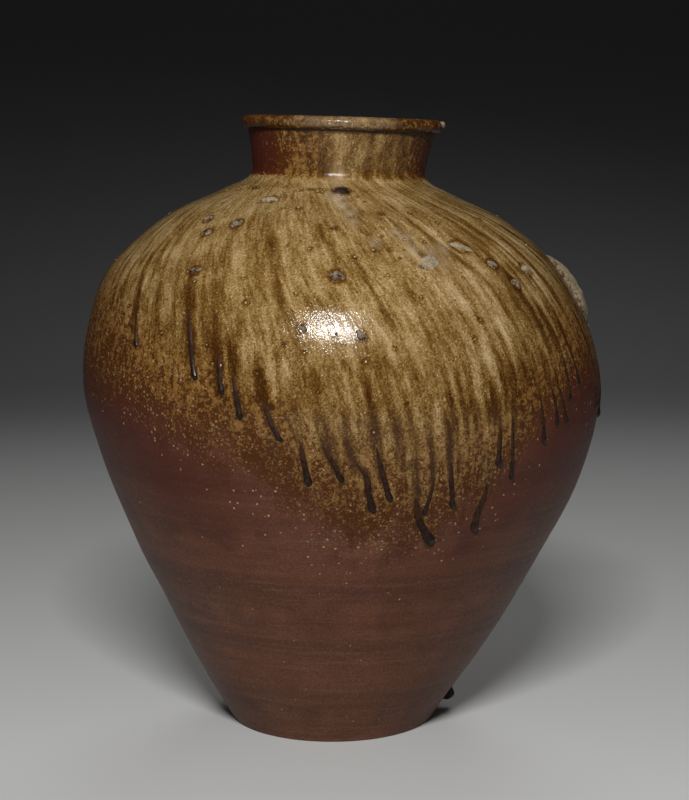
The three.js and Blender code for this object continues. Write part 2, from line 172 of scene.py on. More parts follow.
# How the neck is glazed round the jar: (bearing, cover, thickness)
NECK_COVER = (
    (-180, 1.6, 0.6), (-130, 0.9, 0.65), (-105, -1, 0.7), (-85, -2.8, 0.7), (-60, -2.8, 0.7),
    (-48, -1.9, 0.7), (-40, -0.9, 0.68), (-32, -0.1, 0.66), (-24, 0.8, 0.7), (-18, 1.6, 0.8),
    (-12, 2.2, 0.84), (-7.5, 2.8, 0.76), (-4, 3, 0.5), (1, 3, 0.46), (4, 3, 0.68), (8, 3, 0.66),
    (11, 3, 0.54), (14, 3, 0.57), (18, 3, 0.76), (21, 3, 0.62), (24, 3, 0.52), (27, 3, 0.76),
    (33, 3, 0.86), (38, 2.6, 0.72), (42, 2.2, 0.88), (47, 1.4, 0.8), (50, 0.6, 0.86), (56, -1, 0.8),
    (64, -1.3, 0.8), (85, -0.6, 0.7), (110, 0.9, 0.65), (150, 1.9, 0.6), (180, 1.6, 0.6),
)

# How the lip is glazed round the jar: (bearing, cover, thickness)
LIP_GLAZE = (
    (-180, 1.4, 0.45), (-115, 0.6, 0.5), (-88, -0.7, 0.7), (-64, -0.7, 0.7), (-50, 0.1, 0.55),
    (-38, 1.2, 0.45), (-26, 1.8, 0.4), (-8, 2.4, 0.26), (20, 2.4, 0.28), (34, 1.5, 0.42),
    (46, 0.7, 0.6), (62, 0.3, 0.65), (78, 0.8, 0.5), (110, 0.6, 0.5), (140, 1.2, 0.45),
    (180, 1.4, 0.45),
)

# Glass runs: (path as (bearing, level) from top to drop, width in mm, thickness in mm)
GLAZE_RUNS = (
    (((-49.8, 1.414), (-48.8, 1.315), (-47.8, 1.235)), 3.2, 0.9),
    (((-34, 1.481), (-32.8, 1.346), (-31.5, 1.222), (-30.2, 1.136)), 4.2, 1.3),
    (((-25.5, 1.278), (-24.8, 1.173), (-24, 1.086)), 4, 1.1),
    (((-22, 1.191), (-20.8, 1.08), (-20, 0.992)), 4, 1.2),
    (((-15.5, 1.086), (-13.5, 0.985), (-11.5, 0.943)), 3.6, 1),
    (((-7.8, 0.947), (-7, 0.885), (-6.2, 0.828)), 4.6, 1.5),
    (((-3.4, 0.943), (-1, 0.889), (0.6, 0.844)), 4, 1.2),
    (((2.8, 0.908), (5.4, 0.863), (6, 0.821), (7.3, 0.763)), 4.8, 1.7),
    (((6.8, 0.962), (8.5, 0.882), (10.8, 0.794)), 4.2, 1.2),
    (((16, 0.817), (17.2, 0.756), (19.2, 0.714), (22, 0.672)), 6.4, 2),
    (((19.6, 0.863), (19.2, 0.805), (18.6, 0.756)), 3.4, 1),
    (((22.6, 0.92), (23.8, 0.844), (25, 0.775)), 4.2, 1.4),
    (((32.2, 0.855), (32.6, 0.809), (31.8, 0.763), (32.2, 0.702)), 5.4, 1.9),
    (((33.6, 0.992), (34, 0.935), (34.5, 0.889)), 4.6, 1.5),
    (((36.4, 1.086), (37.2, 0.962), (39, 0.847)), 3.8, 1.3),
    (((44.6, 1.117), (45.6, 1.012), (47, 0.939)), 4.4, 1.3),
    (((48.2, 1.154), (49.8, 1.068), (51, 0.981)), 4.2, 1),
    (((51.2, 1.148), (52.9, 1.062), (55, 0.981)), 4.6, 1.2),
    (((54.4, 1.278), (55, 1.167), (55.8, 1.068)), 4, 1),
    (((58.2, 1.296), (59.4, 1.21), (60.2, 1.13)), 4, 1),
    (((71, 1.235), (72.5, 1.123), (73.4, 1)), 3.6, 1.4),
    (((80, 1.272), (81, 1.136), (82, 0.962)), 4, 1.8),
    (((128, 1.444), (128.5, 1.309), (129.5, 1.173)), 4, 1.2),
)

# The broken piece of another pot, and the run of glass under it, as a path of (bearing past the
# piece's middle, mm below its edge), a width in mm and a thickness in mm
SHARD = {"bearing": 95, "level": 1.472, "across": 27, "up": 28, "thick": 8.6}
SHARD_RUN = (((8, 3), (9, 20), (10, 42)), 4, 1.4)

# A clod of kiln floor by the foot, and a crumb of pale clay on the lip
CLOD = {"bearing": 96, "level": 0.054, "across": 12, "up": 8.5, "thick": 10}
LIP_CRUMB = {"bearing": 84, "turn": 20, "across": 4.5, "up": 3.4, "thick": 2}

# Dark streaks of pooled glaze that catch the eye: (path as (bearing, level), width in mm, strength)
STREAKS = (
    (((-18.5, 1.80), (-13.8, 1.66), (-12.3, 1.57), (-11.5, 1.47)), 6, 0.30),
    (((-6, 1.83), (-2.5, 1.757), (0.8, 1.70), (4, 1.62)), 6, 0.26),
    (((4, 1.74), (7.8, 1.60), (9.2, 1.54), (11, 1.39), (12, 1.2)), 5, 0.34),
    (((-9.8, 1.42), (-8.4, 1.3), (-7.2, 1.2), (-5.5, 1.05)), 5, 0.24),
    (((-26.6, 1.36), (-25.4, 1.25), (-24.2, 1.1)), 5, 0.26),
    (((37, 1.96), (41.2, 1.92), (46.8, 1.84), (50.3, 1.76), (53.8, 1.68), (57, 1.5)), 6, 0.34),
    (((23, 1.86), (27.5, 1.78), (34, 1.67), (38.6, 1.56), (40, 1.43), (39.8, 1.3), (41, 1.15)), 7, 0.36),
    (((16.8, 1.6), (17.4, 1.5), (18.2, 1.4), (19.5, 1.28), (21.5, 1.1)), 6, 0.30),
    (((-33.4, 1.62), (-33.2, 1.53), (-32.8, 1.41), (-32.3, 1.28)), 6, 0.34),
    (((-48.6, 1.56), (-48.5, 1.42), (-48.3, 1.3)), 4, 0.28),
    (((-20, 1.5), (-21, 1.39), (-21.6, 1.25), (-21.2, 1.15)), 6, 0.24),
    (((27, 1.5), (29.5, 1.3), (31, 1.15), (32.3, 1.0)), 6, 0.28),
    (((47, 1.6), (49.5, 1.45), (51, 1.3), (52, 1.15)), 5, 0.30),
)

# Where the glaze as a whole lies thicker or thinner: (bearing, level, reach in mm, change)
SWATHES = (
    (-37.8, 1.525, 34, 0.1), (-17.2, 1.24, 30, -0.12), (17.5, 1.09, 38, 0.25),
    (38.5, 1.19, 26, 0.18), (-28, 1.735, 26, -0.05), (63, 1.57, 30, -0.12), (27.5, 1.45, 26, -0.04),
    (-24, 1.12, 24, 0.15), (40, 1.77, 30, 0.15), (-42, 1.33, 28, 0.12), (-2, 1.15, 24, 0.12),
    (-20, 1.66, 50, 0.07), (3, 1.86, 34, 0.05), (29, 1.0, 20, 0.12), (-3, 0.95, 16, -0.1),
)

# Patches where small crystals turn the glaze milky, and at the front of the neck's foot a pale painted
# sheen: (bearing, level, reach in mm, strength)
MILKY_AND_SHEEN = (
    (-1, 2.02, 6, 0.4), (0.5, 1.925, 5, 0.6), (2.8, 1.892, 4, 0.8), (5.2, 1.86, 4, 0.7),
    (6, 1.823, 4, 0.4), (18.8, 1.781, 4, 0.4), (21.2, 1.757, 4, 0.5), (22, 1.707, 5, 0.5),
    (27, 1.7, 5, 0.4), (28.5, 1.656, 6, 0.3), (-31.5, 1.9, 4, 0.35), (12, 1.74, 4, 0.35),
    (31, 1.712, 5, 0.35), (100, 1.7, 7, 0.4), (150, 1.6, 8, 0.4), (-150, 1.75, 8, 0.4),
    (-100, 1.6, 7, 0.4),
)

# Grit on the shoulder: (bearing, level, half width mm, half length mm, thickness mm, turn, kind).
# The glaze gathers round the grit that is thicker than THICK_GRIT mm.
GRIT = (
    (1.2, 1.605, 6, 4.2, 1.8, 20, "dark"),
    (24.8, 1.654, 8.8, 6.2, 1, 10, "pale"),
    (37, 1.716, 9, 3.4, 1.3, -25, "pale"),
    (43.8, 1.636, 5, 4, 2, -30, "dark"),
    (47.8, 1.556, 4.6, 3.6, 2.2, 10, "dark"),
    (55.8, 1.605, 6.5, 3.6, 2.4, -30, "pale"),
    (-31.8, 1.809, 5.5, 3.6, 2, 30, "dark"),
    (-45, 1.821, 4.5, 3, 1.8, 20, "dark"),
    (-39.8, 1.769, 4.5, 3, 1.6, 0, "dark"),
    (-29.5, 1.907, 6, 4, 1.6, 15, "pale"),
    (2, 1.951, 7, 4.5, 2, 0, "slag"),
    (-34.5, 1.615, 5, 2.8, 1.6, 25, "dark"),
    (4.5, 1.37, 3.8, 3.2, 2, 0, "dark"),
    (-7.3, 1.393, 3, 2.8, 1.8, 0, "dark"),
)
THICK_GRIT = 1.2

# Pimples where a bubble or a grain lies under the glaze: (bearing, level, radius in mm)
PIMPLES = (
    (0.2, 1.798, 2.2), (-5.8, 1.714, 1.8), (11, 1.708, 1.8), (15.5, 1.708, 1.8), (-7.3, 1.29, 1.6),
    (6.5, 0.984, 2), (-19.5, 1.486, 2), (-16.8, 1.19, 2.2), (6, 1.681, 1.6), (13.2, 1.605, 1.6),
    (21.8, 1.59, 1.4), (-20.8, 1.588, 1.4), (-36.5, 1.607, 1.8), (-53.2, 1.424, 1.6),
    (-14, 1.875, 2.2), (4.8, 1.265, 2), (10.8, 1.32, 1.6), (32, 1.429, 1.8), (35, 1.819, 1.6),
    (16.2, 1.86, 1.8), (-19.8, 1.873, 1.6), (-32.5, 1.893, 1.6), (-51.2, 1.886, 1.8),
    (0.8, 1.334, 1.2), (14.8, 1.212, 1.4), (12.8, 1.096, 1.2), (8.8, 0.976, 1.4), (17, 1.002, 1.6),
    (-4.5, 1.132, 1.2), (-11.5, 1.318, 1.4), (-28.2, 1.292, 1.4), (24, 1.781, 1.3),
    (20.5, 1.749, 1.3), (17.5, 1.675, 1.2), (31.8, 1.762, 1.2), (22.5, 1.723, 1.2), (70, 1.7, 1.8),
    (82, 1.55, 1.5), (118, 1.6, 2), (140, 1.75, 1.6), (152, 1.5, 1.8), (171, 1.66, 2),
    (-172, 1.42, 1.6), (-160, 1.8, 1.8), (-146, 1.6, 1.5), (-131, 1.35, 2), (-120, 1.7, 1.6),
    (-104, 1.5, 1.8), (-92, 1.82, 1.5), (-78, 1.62, 1.7), (-68, 1.4, 1.4), (-15, 1.957, 1.3),
    (-12.2, 1.955, 1.5), (-9.4, 1.957, 1.2), (-6.8, 1.953, 1.6), (-4, 1.956, 1.3), (-29, 1.96, 1.4),
    (-26, 1.957, 1.2), (9, 1.93, 1.5), (12, 1.91, 1.4), (15, 1.8, 1.3), (18.5, 1.77, 1.5),
    (-58, 1.94, 1.8), (-55.5, 1.942, 1.6), (-50, 1.948, 1.6), (-47.5, 1.95, 2), (-45, 1.95, 1.7),
    (-20.5, 1.949, 1.8), (-18, 1.95, 1.6), (-10, 1.945, 1.9), (-7.5, 1.944, 1.7),
    (14.2, 1.765, 1.2), (26.5, 1.74, 1.3), (23.4, 1.69, 1.4), (19.4, 1.71, 1.1), (12.4, 1.74, 1.3),
)

# At the neck's foot: the groove where glaze lies dark at the left, and the low ring of crust over it
GROOVE_LEVEL, GROOVE_REACH, GROOVE_BEARING = 1.952, 1.3 * MM, -22
CRUST_LEVEL, CRUST_REACH, CRUST_HEIGHT = 1.957, 1.5 * MM, 0.4 * MM

# How thick the glaze lies, from about 0 to 1: the plain glaze, then what is added along a full streak,
# over a run, at the glaze's edge, as painted shadow under the lip, in the groove and round grit and
# pimples
PLAIN_ASH, STREAK_ASH, FEED_ASH, EDGE_ASH, UNDER_LIP_SHADOW_ASH, GROOVE_ASH, RING_ASH = (
    0.45, 0.75, 0.55, 0.22, 0.4, 0.5, 0.36
)
# Glaze thicker than the first value runs off, so that it nears the sum of the two
HELD_ASH, HELD_MORE = 0.7, 0.24

# The clay line between the neck and the lip, and the share of its half height where the lip is cut flat
JOINT_LINE = 0.3 * MM
LIP_SEAT = 0.8

# Noises: (cells round the jar, length of a cell up the wall in metres or over the lip in radians, seed)
NOISES = {
    "drift": (60, 0.045, 5),
    "broad": (70, 0.14, 1),
    "medium": (150, 0.09, 2),
    "fine": (330, 0.05, 3),
    "comb waver": (45, 0.12, 13),
    "threads": (56, 0.3, 4),
    "thread gaps": (40, 0.11, 6),
    "groove gaps": (50, 1, 15),
    "coil wobble": (11, 0.07, 7),
    "hand wobble": (23, 0.03, 8),
    "band waver": (7, 0.06, 9),
    "band patches": (9, 0.05, 10),
    "crust gaps": (13, 0.05, 14),
    "foot wear": (90, 1, 12),
    "finger waves": (17, 1.5, 21),
    "finger ripples": (70, 0.9, 22),
    "lip nicks": (130, 0.35, 25),
    "worn patches": (110, 0.8, 23),
    "worn grain": (240, 0.45, 24),
    "crest gaps": (40, 1, 26),
}


def ease(low, high, value):
    """Smoothstep: 0 below low, 1 above high, and 3t^2 - 2t^3 between."""
    t = np.clip((value - low) / (high - low), 0, 1)
    return t * t * (3 - 2 * t)


def bell(value):
    """1 at 0, falling to nothing on both sides: e^(-t^2)."""
    return np.exp(-(value**2))


def from_middle(bearing, middle=0.0):
    """Degrees from a middle bearing round to another, between -180 and 180."""
    return (bearing - middle + 180) % 360 - 180


def compass(bearing, rise):
    """Points over a circle of radius 1 round the jar: (sin b, -cos b, rise)."""
    return np.stack([np.sin(np.radians(bearing)), -np.cos(np.radians(bearing)), rise], -1)


def spline(points, count):
    """A uniform Catmull-Rom curve through the points, sampled count times with even parameter.

    Each span's cubic passes its ends with slopes of half the chord between the neighbours.
    """
    points = np.asarray(points, float)
    t = np.linspace(0, len(points) - 1, count)
    i = np.minimum(t.astype(int), len(points) - 2)
    f = (t - i)[:, None]
    p0 = points[np.maximum(i - 1, 0)]
    p1 = points[i]
    p2 = points[i + 1]
    p3 = points[np.minimum(i + 2, len(points) - 1)]
    v0 = (p2 - p0) / 2
    v1 = (p3 - p1) / 2
    cubic = (2 * p1 - 2 * p2 + v0 + v1) * f**3 + (-3 * p1 + 3 * p2 - 2 * v0 - v1) * f**2
    return cubic + v0 * f + p1


class Wall:
    """The jar's outside as a curve, sampled finely, with the lean that the turned form is given."""

    SAMPLES = 6001

    def __init__(self, sizes):
        self.sizes = sizes
        foot, belly = (sizes.foot_radius, 0), (sizes.belly_radius, sizes.belly_height)
        neck = (sizes.neck_foot_radius, sizes.neck_foot_height)

        def fullness(a, b, shares):
            return [(a[0] + (b[0] - a[0]) * r, a[1] + (b[1] - a[1]) * h) for r, h in shares]

        stations = [
            foot,
            *fullness(foot, belly, LOWER_FULLNESS),
            belly,
            *fullness(belly, neck, UPPER_FULLNESS),
            neck,
            (sizes.neck_waist_radius, neck[1] + sizes.neck_waist_rise),
            (sizes.neck_top_radius, neck[1] + sizes.neck_length),
        ]
        self.radius, self.height = spline(stations, self.SAMPLES).T
        steps = np.hypot(np.diff(self.radius), np.diff(self.height))
        self.along = np.concatenate([[0], np.cumsum(steps)])
        self.length = self.along[-1]
        self.turn_r = np.gradient(self.radius, self.along)
        self.turn_z = np.gradient(self.height, self.along)
        self.seams = [self.level_height(level) for level in SEAM_LEVELS]
        pebbles = [
            (bearing, level, 0.5 * (across + up))
            for bearing, level, across, up, thick, _turn, _kind in GRIT
            if thick > THICK_GRIT
        ]
        self.spots = [
            (bearing, self.at_level(level), size * MM)
            for bearing, level, size in (*pebbles, *PIMPLES, *strewn_pimples())
        ]

    def level_height(self, level):
        """Height of a level: a share of the way to the belly, then of the way on to the neck's foot."""
        belly, neck = self.sizes.belly_height, self.sizes.neck_foot_height
        return np.interp(level, [0, 1, 2], [0, belly, neck])

    def at_height(self, height):
        """Distance along the wall at a height."""
        return np.interp(height, self.height, self.along)

    def at_level(self, level):
        """Distance along the wall at a level."""
        return self.at_height(self.level_height(level))

    def levelled(self, path):
        """A path of (bearing, level) as one of (bearing, along)."""
        return tuple((bearing, self.at_level(level)) for bearing, level in path)

    def radius_at(self, along):
        """Radius of the plain curve at a distance along the wall."""
        return np.interp(along, self.along, self.radius)

    def height_at(self, along):
        """Height of the plain curve at a distance along the wall."""
        return np.interp(along, self.along, self.height)

    def thickness(self, along):
        """Clay thickness: heavy at the foot, even at the belly, thinner at the neck."""
        s = self.sizes
        belly = self.at_height(s.belly_height)
        return np.interp(along, [0, belly, self.length], [s.foot_wall, s.belly_wall, s.neck_wall])

    def section(self, along, offset=0.0):
        """Radius and height at a distance along the wall, moved out by offset and the seams' swell."""
        s = self.sizes
        height = self.height_at(along)
        out = offset + sum(s.seam_swell * bell((height - seam) / s.seam_reach) for seam in self.seams)
        radius = self.radius_at(along) + np.interp(along, self.along, self.turn_z) * out
        return radius, height - np.interp(along, self.along, self.turn_r) * out

    def place(self, bearing, radius, height):
        """Point on the leaning jar: x = slide + r sin b, y = -r cos b, z = h - droop r sin b."""
        share = height / self.sizes.neck_foot_height
        slide = np.zeros_like(share)
        droop = np.zeros_like(share)
        for (a, slide_a, droop_a), (b, slide_b, droop_b) in zip(LEAN, LEAN[1:]):
            t = ease(a, b, share)
            slide = slide + (slide_b - slide_a) * MM * t
            droop = droop + (droop_b - droop_a) * t
        across = radius * np.sin(np.radians(bearing))
        return np.stack(
            [slide + across, -radius * np.cos(np.radians(bearing)), height - droop * across], -1
        )

    def outside(self, bearing, along, offset=0.0):
        """Point on the plain outside, moved out of it by offset."""
        return self.place(bearing, *self.section(along, offset))


def lattice_noise(kind, bearing, along):
    """Smooth noise from 0 to 1 that closes round the jar, of a kind listed in NOISES.

    Random values stand on a lattice of cells round the jar and along the wall, and each point mixes
    its four neighbours by smoothstep.
    """
    columns, cell, seed = NOISES[kind]
    rows = 256
    table = np.random.default_rng(seed).random((columns, rows))
    x = (bearing / 360 % 1.0) * columns
    y = along / cell + rows // 2
    i, j = np.floor(x).astype(int), np.floor(y).astype(int)
    u, v = ease(0, 1, x - i), ease(0, 1, y - j)
    i0, i1, j0, j1 = i % columns, (i + 1) % columns, j % rows, (j + 1) % rows
    low = table[i0, j0] * (1 - u) + table[i1, j0] * u
    high = table[i0, j1] * (1 - u) + table[i1, j1] * u
    return low * (1 - v) + high * v


def round_table(bearing, table, column):
    """Value from a table by bearing, with straight lines between its rows."""
    rows = np.array(table, float)
    return np.interp(from_middle(bearing), rows[:, 0], rows[:, column])


def stream(wall, bearing, height):
    """Bearing at the neck from which the glaze at a place flowed.

    Streaks fan from the neck and swing to the right, mostly in the shoulder's first millimetres.
    Further down they drift on slowly, at the front only.
    """
    down = (wall.sizes.neck_foot_height - height) / MM
    whole_swing, swing_reach = 24, 35
    swing = whole_swing * (1 - np.exp(-np.maximum(down, 0) / swing_reach))
    drift_by_mm, drift_start = 0.06, 64
    front = bell((from_middle(bearing) - 5) / 30)
    return bearing - swing - drift_by_mm * np.maximum(down - drift_start, 0) * front


def near_path(wall, bearing, along, path, width):
    """How near each place is to a path of (bearing, along), from 0 to 1 on it.

    It falls to both sides as a bell, to a third at half the width. The ends fade over a width or more,
    so a path starts and stops softly.
    """
    line = spline(path, 60)
    order = np.argsort(line[:, 1])
    bearings, alongs = line[order, 0], line[order, 1]
    centre = np.interp(along, alongs, bearings)
    off = np.radians(from_middle(bearing, centre)) * wall.radius_at(along) / (width / 2)
    ends = ease(alongs[0] - width, alongs[0] + width, along)
    ends = ends * (1 - ease(alongs[-1] - 4 * width, alongs[-1] + 2 * width, along))
    return bell(off) * ends


def all_runs(wall):
    """Every run of glass: its path of (bearing, along), then its width and thickness in mm."""
    runs = [(wall.levelled(path), width, thick) for path, width, thick in GLAZE_RUNS]
    path, width, thick = SHARD_RUN
    edge = wall.at_level(SHARD["level"]) - SHARD["up"] * MM
    path = tuple((SHARD["bearing"] + past, edge - down * MM) for past, down in path)
    return [*runs, (path, width, thick)]


def strewn_pimples():
    """More pimples all round, closer together towards the neck, as (bearing, level, radius in mm)."""
    rng = np.random.default_rng(77)
    rows = rng.random((110, 3))
    return [(360 * a - 180, 1.95 - 0.8 * b**1.6, 0.8 + 1.1 * c * c) for a, b, c in rows]


def near_spots(wall, bearing, along):
    """Glaze gathered round each pebble and pimple: a bell over the ring 1.1 radii out from its middle."""
    radius = wall.radius_at(along)
    ring = np.zeros(np.shape(along))
    low, high = along.min(), along.max()
    for spot_b, spot_s, size in wall.spots:
        reach = 2.5 * size
        if low - reach < spot_s < high + reach:
            close = np.abs(along - spot_s) < reach
            side = np.radians(from_middle(bearing[close], spot_b)) * radius[close]
            away = np.hypot(side, along[close] - spot_s) / size
            ring[close] = np.maximum(ring[close], bell((away - 1.1) / 0.3))
    return ring


def near_patches(wall, bearing, along, table, rise=1.0):
    """Each row's last value and a bell over the row's reach, with heights first scaled by rise."""
    radius = wall.radius_at(along)
    for patch_b, level, reach, value in table:
        side = np.radians(from_middle(bearing, patch_b)) * radius
        away = np.hypot(side, rise * (along - wall.at_level(level))) / (reach * MM)
        yield value, bell(away)


def feeding(wall, bearing, along):
    """How near each place is to the streak of glaze that feeds a run from above: 1 on it."""
    fed = np.zeros(np.shape(along))
    lead = 16 * MM
    for path, width, _thick in all_runs(wall):
        b, s = path[0]
        led = ((b - 1.8, s + 2 * lead), (b - 0.8, s + lead), *path)
        fed = np.maximum(fed, near_path(wall, bearing, along, led, width * MM * 1.35))
    return fed


def glaze_fields(wall, bearing, along):
    """What the fire left at each place on the outside, with some painted sheen and painted shade, as
    arrays shaped as bearing is.

    ash is how thick the glaze is, about 0 to 1. cover is above 0 where there is glaze, in fade heights.
    below is how far the place lies under the glaze's edge, in metres. flash is how red the clay is,
    strongest at the sides as painted shade.
    milk is how milky the glaze is, and where a pale sheen is painted. source is the bearing at the neck
    from which the glaze flowed.
    """
    height = wall.height_at(along)
    edge, fade = (round_table(bearing, GLAZE_EDGE, column) * MM for column in (1, 2))
    neck_foot = wall.sizes.neck_foot_height
    top = neck_foot + wall.sizes.neck_length
    neck = ease(neck_foot - 1 * MM, neck_foot + 3 * MM, height)
    neck_cover, neck_thick = (round_table(bearing, NECK_COVER, column) for column in (1, 2))
    source = stream(wall, bearing, height)
    turned = from_middle(bearing)

    # Streaks along the flow: noise of three widths, thin dark threads and a fine comb, stronger
    # towards the glaze's edge and calmer at the left
    flowed = source + 1.8 * (lattice_noise("drift", bearing, along) - 0.5)
    broad, medium, fine = (
        lattice_noise(kind, flowed, along) - 0.5 for kind in ("broad", "medium", "fine")
    )
    calm = 1 - 0.6 * bell((turned + 34) / 30)
    drawn = calm * (0.45 * broad + 0.42 * medium + 0.32 * fine)
    comb_teeth = 105
    comb = comb_teeth * (flowed / 360) + 1.4 * lattice_noise("comb waver", source, along)
    comb = calm * np.sin(2 * np.pi * comb)
    thread = 1 - np.abs(2 * lattice_noise("threads", flowed, along) - 1)
    thread = thread**9 * ease(0.35, 0.75, lattice_noise("thread gaps", flowed, along))
    low = ease(0.12, 0.02, height - edge)
    streaks = (0.4 + 0.5 * low) * drawn + (0.1 + 0.16 * low) * thread + (0.03 + 0.13 * low) * comb
    ash = PLAIN_ASH + streaks * (1 - 0.7 * neck)
    for path, width, strength in STREAKS:
        streak = near_path(wall, bearing, along, wall.levelled(path), width * MM)
        ash = ash + STREAK_ASH * strength * streak
    tongue = (np.clip(ash, 0, 1) - 0.5) * 30 * MM

    # Thicker and thinner patches, the streaks that feed the runs, the thicker glaze towards its edge,
    # the neck, a painted shadow of darker glaze under the lip, and the groove at the neck's foot
    for change, near in near_patches(wall, bearing, along, SWATHES):
        ash = ash + change * near
    fed = feeding(wall, bearing, along)
    ash = ash + FEED_ASH * fed
    ash = ash + EDGE_ASH * ease(-0.09, 0, edge - height) * (1 - neck)
    ash = ash + (neck_thick - PLAIN_ASH) * neck
    # Painted shadow: the glaze darkens in a band just under the lip's overhang
    ash = ash + UNDER_LIP_SHADOW_ASH * ease(top - 3.5 * MM, top - 1.5 * MM, height)
    groove = bell((along - wall.at_level(GROOVE_LEVEL)) / GROOVE_REACH)
    groove = groove * bell((turned - GROOVE_BEARING) / 30)
    gaps = ease(0.4, 0.6, lattice_noise("groove gaps", bearing, 0 * along))
    ash = ash + GROOVE_ASH * groove * gaps
    held = HELD_ASH + HELD_MORE * np.tanh((ash - HELD_ASH) / HELD_MORE)
    ash = np.where(ash > HELD_ASH, held, ash)
    ash = ash + RING_ASH * near_spots(wall, bearing, along)

    # Milky patches, and a pale painted sheen down the front of the neck's foot, a little longer down the
    # wall than across it
    milk = np.zeros(np.shape(ash))
    for strength, near in near_patches(wall, bearing, along, MILKY_AND_SHEEN, rise=0.7):
        milk = np.maximum(milk, strength * near)

    # Where the glaze ends, and the clay flashed red under it, most at the sides as painted shade
    cover = (height - edge + tongue) / fade + 2.8 * fed * (1 - neck)
    neck_cover = neck_cover + medium * 1.2 + 0.7 * ease(top - 7 * MM, top, height)
    cover = np.clip(cover * (1 - neck) + neck_cover * neck, -6, 6)
    below = (edge - height) * (1 - neck) + np.clip(-neck_cover * 0.03, -0.1, 0.078) * neck
    # Sparing the front and darkening the sides with red is painted shade
    side = 1 - bell((turned - 4) / 34)
    flash = ease(0.17, 0.05, edge - height) * (0.2 + 0.8 * side)
    flash = flash * (1 - neck) + ease(0.8, -1.2, neck_cover) * neck
    return {"ash": ash, "cover": cover, "below": below, "flash": flash, "milk": milk, "source": source}


def relief(wall, marks, bearing, along, fields):
    """How far the dressed wall stands out of the plain one.

    It lies a little inside, wobbles as coils do, is scraped in bands where the clay is bare, swells
    where a streak of glaze is thick, and has a low ring of crust at the neck's foot.
    """
    height = wall.height_at(along)
    wobble = lattice_noise("coil wobble", bearing, along) - 0.75
    wobble = wobble + 0.5 * lattice_noise("hand wobble", bearing, along)
    waver = 0.5 * lattice_noise("band waver", bearing, along)
    bands = np.sin(2 * np.pi * (height / marks.band_spacing + waver)) * 0.6
    bands = bands + np.sin(2 * np.pi * (height / marks.band_spacing * 1.7 + 2 * waver)) * 0.4
    patchy = lattice_noise("band patches", bearing, along)
    bare = 1 - ease(-1.0, 0.6, fields["cover"])
    out = -marks.skin_depth + marks.wobble * wobble * 2
    out = out + marks.band_depth * bands * patchy * (0.35 + 0.65 * bare)
    out = out + marks.streak_relief * (fields["ash"] - 0.6) * (1 - bare)
    crust = bell((along - wall.at_level(CRUST_LEVEL)) / CRUST_REACH)
    out = out + CRUST_HEIGHT * crust * ease(0.3, 0.7, lattice_noise("crust gaps", bearing, along))
    # The foot's edge stays quiet, and no place comes out as far as the plain wall
    quiet = ease(0.004, 0.02, along)
    return np.minimum(out, -0.02 * MM) * quiet - 0.05 * MM * (1 - quiet)


def grid_faces(rows, columns, close_rows=False, close_columns=True, start=0):
    """Quads of a grid of points numbered row by row, joined round where asked."""
    i = np.arange(rows if close_rows else rows - 1)[:, None]
    j = np.arange(columns if close_columns else columns - 1)[None, :]
    i1, j1 = (i + 1) % rows, (j + 1) % columns
    corners = [i * columns + j, i * columns + j1, i1 * columns + j1, i1 * columns + j]
    return np.stack([c + 0 * (i + j) for c in corners], -1).reshape(-1, 4) + start


def fan_faces(centre, first, columns, flip=False):
    """Triangles from one point to a closed row of points."""
    j = np.arange(columns)
    ring = [first + j, first + (j + 1) % columns]
    return np.stack([np.full(columns, centre), *(ring[::-1] if flip else ring)], -1)


def grid_normals(points):
    """Outward normals of a grid closed round its columns, from the cross product of its two slopes."""
    wrapped = np.concatenate([points[:, -1:], points, points[:, :1]], 1)
    normals = np.cross(wrapped[:, 2:] - wrapped[:, :-2], np.gradient(points, axis=0))
    normals /= np.maximum(np.linalg.norm(normals, axis=-1, keepdims=True), 1e-12)
    return normals


def volume(points, faces):
    """Signed volume of a closed mesh of triangles and quads, from its fans about the origin."""
    six_volumes = 0.0
    for group in faces:
        for k in range(1, group.shape[1] - 1):
            a, b, c = points[group[:, 0]], points[group[:, k]], points[group[:, k + 1]]
            six_volumes += np.einsum("ij,ij->", a, np.cross(b, c))
    return six_volumes / 6


def make_piece(name, points, faces, material, slot, replaced=(), fields=None, normals=None):
    """Builds a mesh object from arrays, faces outwards, riding on the jar's body."""
    points = np.ascontiguousarray(points.reshape(-1, 3))
    if volume(points - points.mean(0), faces) < 0:
        faces = [group[:, ::-1] for group in faces]
    sizes = np.concatenate([np.full(len(group), group.shape[1]) for group in faces])
    corners = np.concatenate([group.ravel() for group in faces])
    mesh = bpy.data.meshes.new(name)
    mesh.vertices.add(len(points))
    mesh.vertices.foreach_set("co", points.ravel())
    mesh.loops.add(len(corners))
    mesh.loops.foreach_set("vertex_index", corners.astype(np.int32))
    mesh.polygons.add(len(sizes))
    mesh.polygons.foreach_set("loop_start", (np.cumsum(sizes) - sizes).astype(np.int32))
    mesh.update(calc_edges=True)
    mesh.polygons.foreach_set("use_smooth", np.ones(len(sizes), bool))
    for key, values in (fields or {}).items():
        vector = values.reshape(len(points), -1).shape[1] == 3
        kind, slotname = ("FLOAT_VECTOR", "vector") if vector else ("FLOAT", "value")
        attribute = mesh.attributes.new(key, kind, "POINT")
        attribute.data.foreach_set(slotname, values.astype(np.float32).ravel())
    if normals is not None:
        mesh.normals_split_custom_set_from_vertices(normals.reshape(-1, 3))
    mesh.materials.append(material)
    piece = bpy.data.objects.new(name, mesh)
    bpy.context.scene.collection.objects.link(piece)
    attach(piece, BODY)
    if replaced:
        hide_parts(*replaced)
    return piece


def shared_fields(wall, bearing, along):
    """The fields that the wall's material reads, at places on the outside."""
    fields = glaze_fields(wall, bearing, along)
    fields["flow"] = compass(fields.pop("source"), along)
    return fields


def unglazed(flow, below, flash):
    """The same fields for places that no ash reached."""
    values = {"ash": 0.4, "cover": -5.0, "below": below, "flash": flash, "milk": 0.0}
    fields = {key: np.full(flow.shape[:-1], value) for key, value in values.items()}
    return {**fields, "flow": flow}


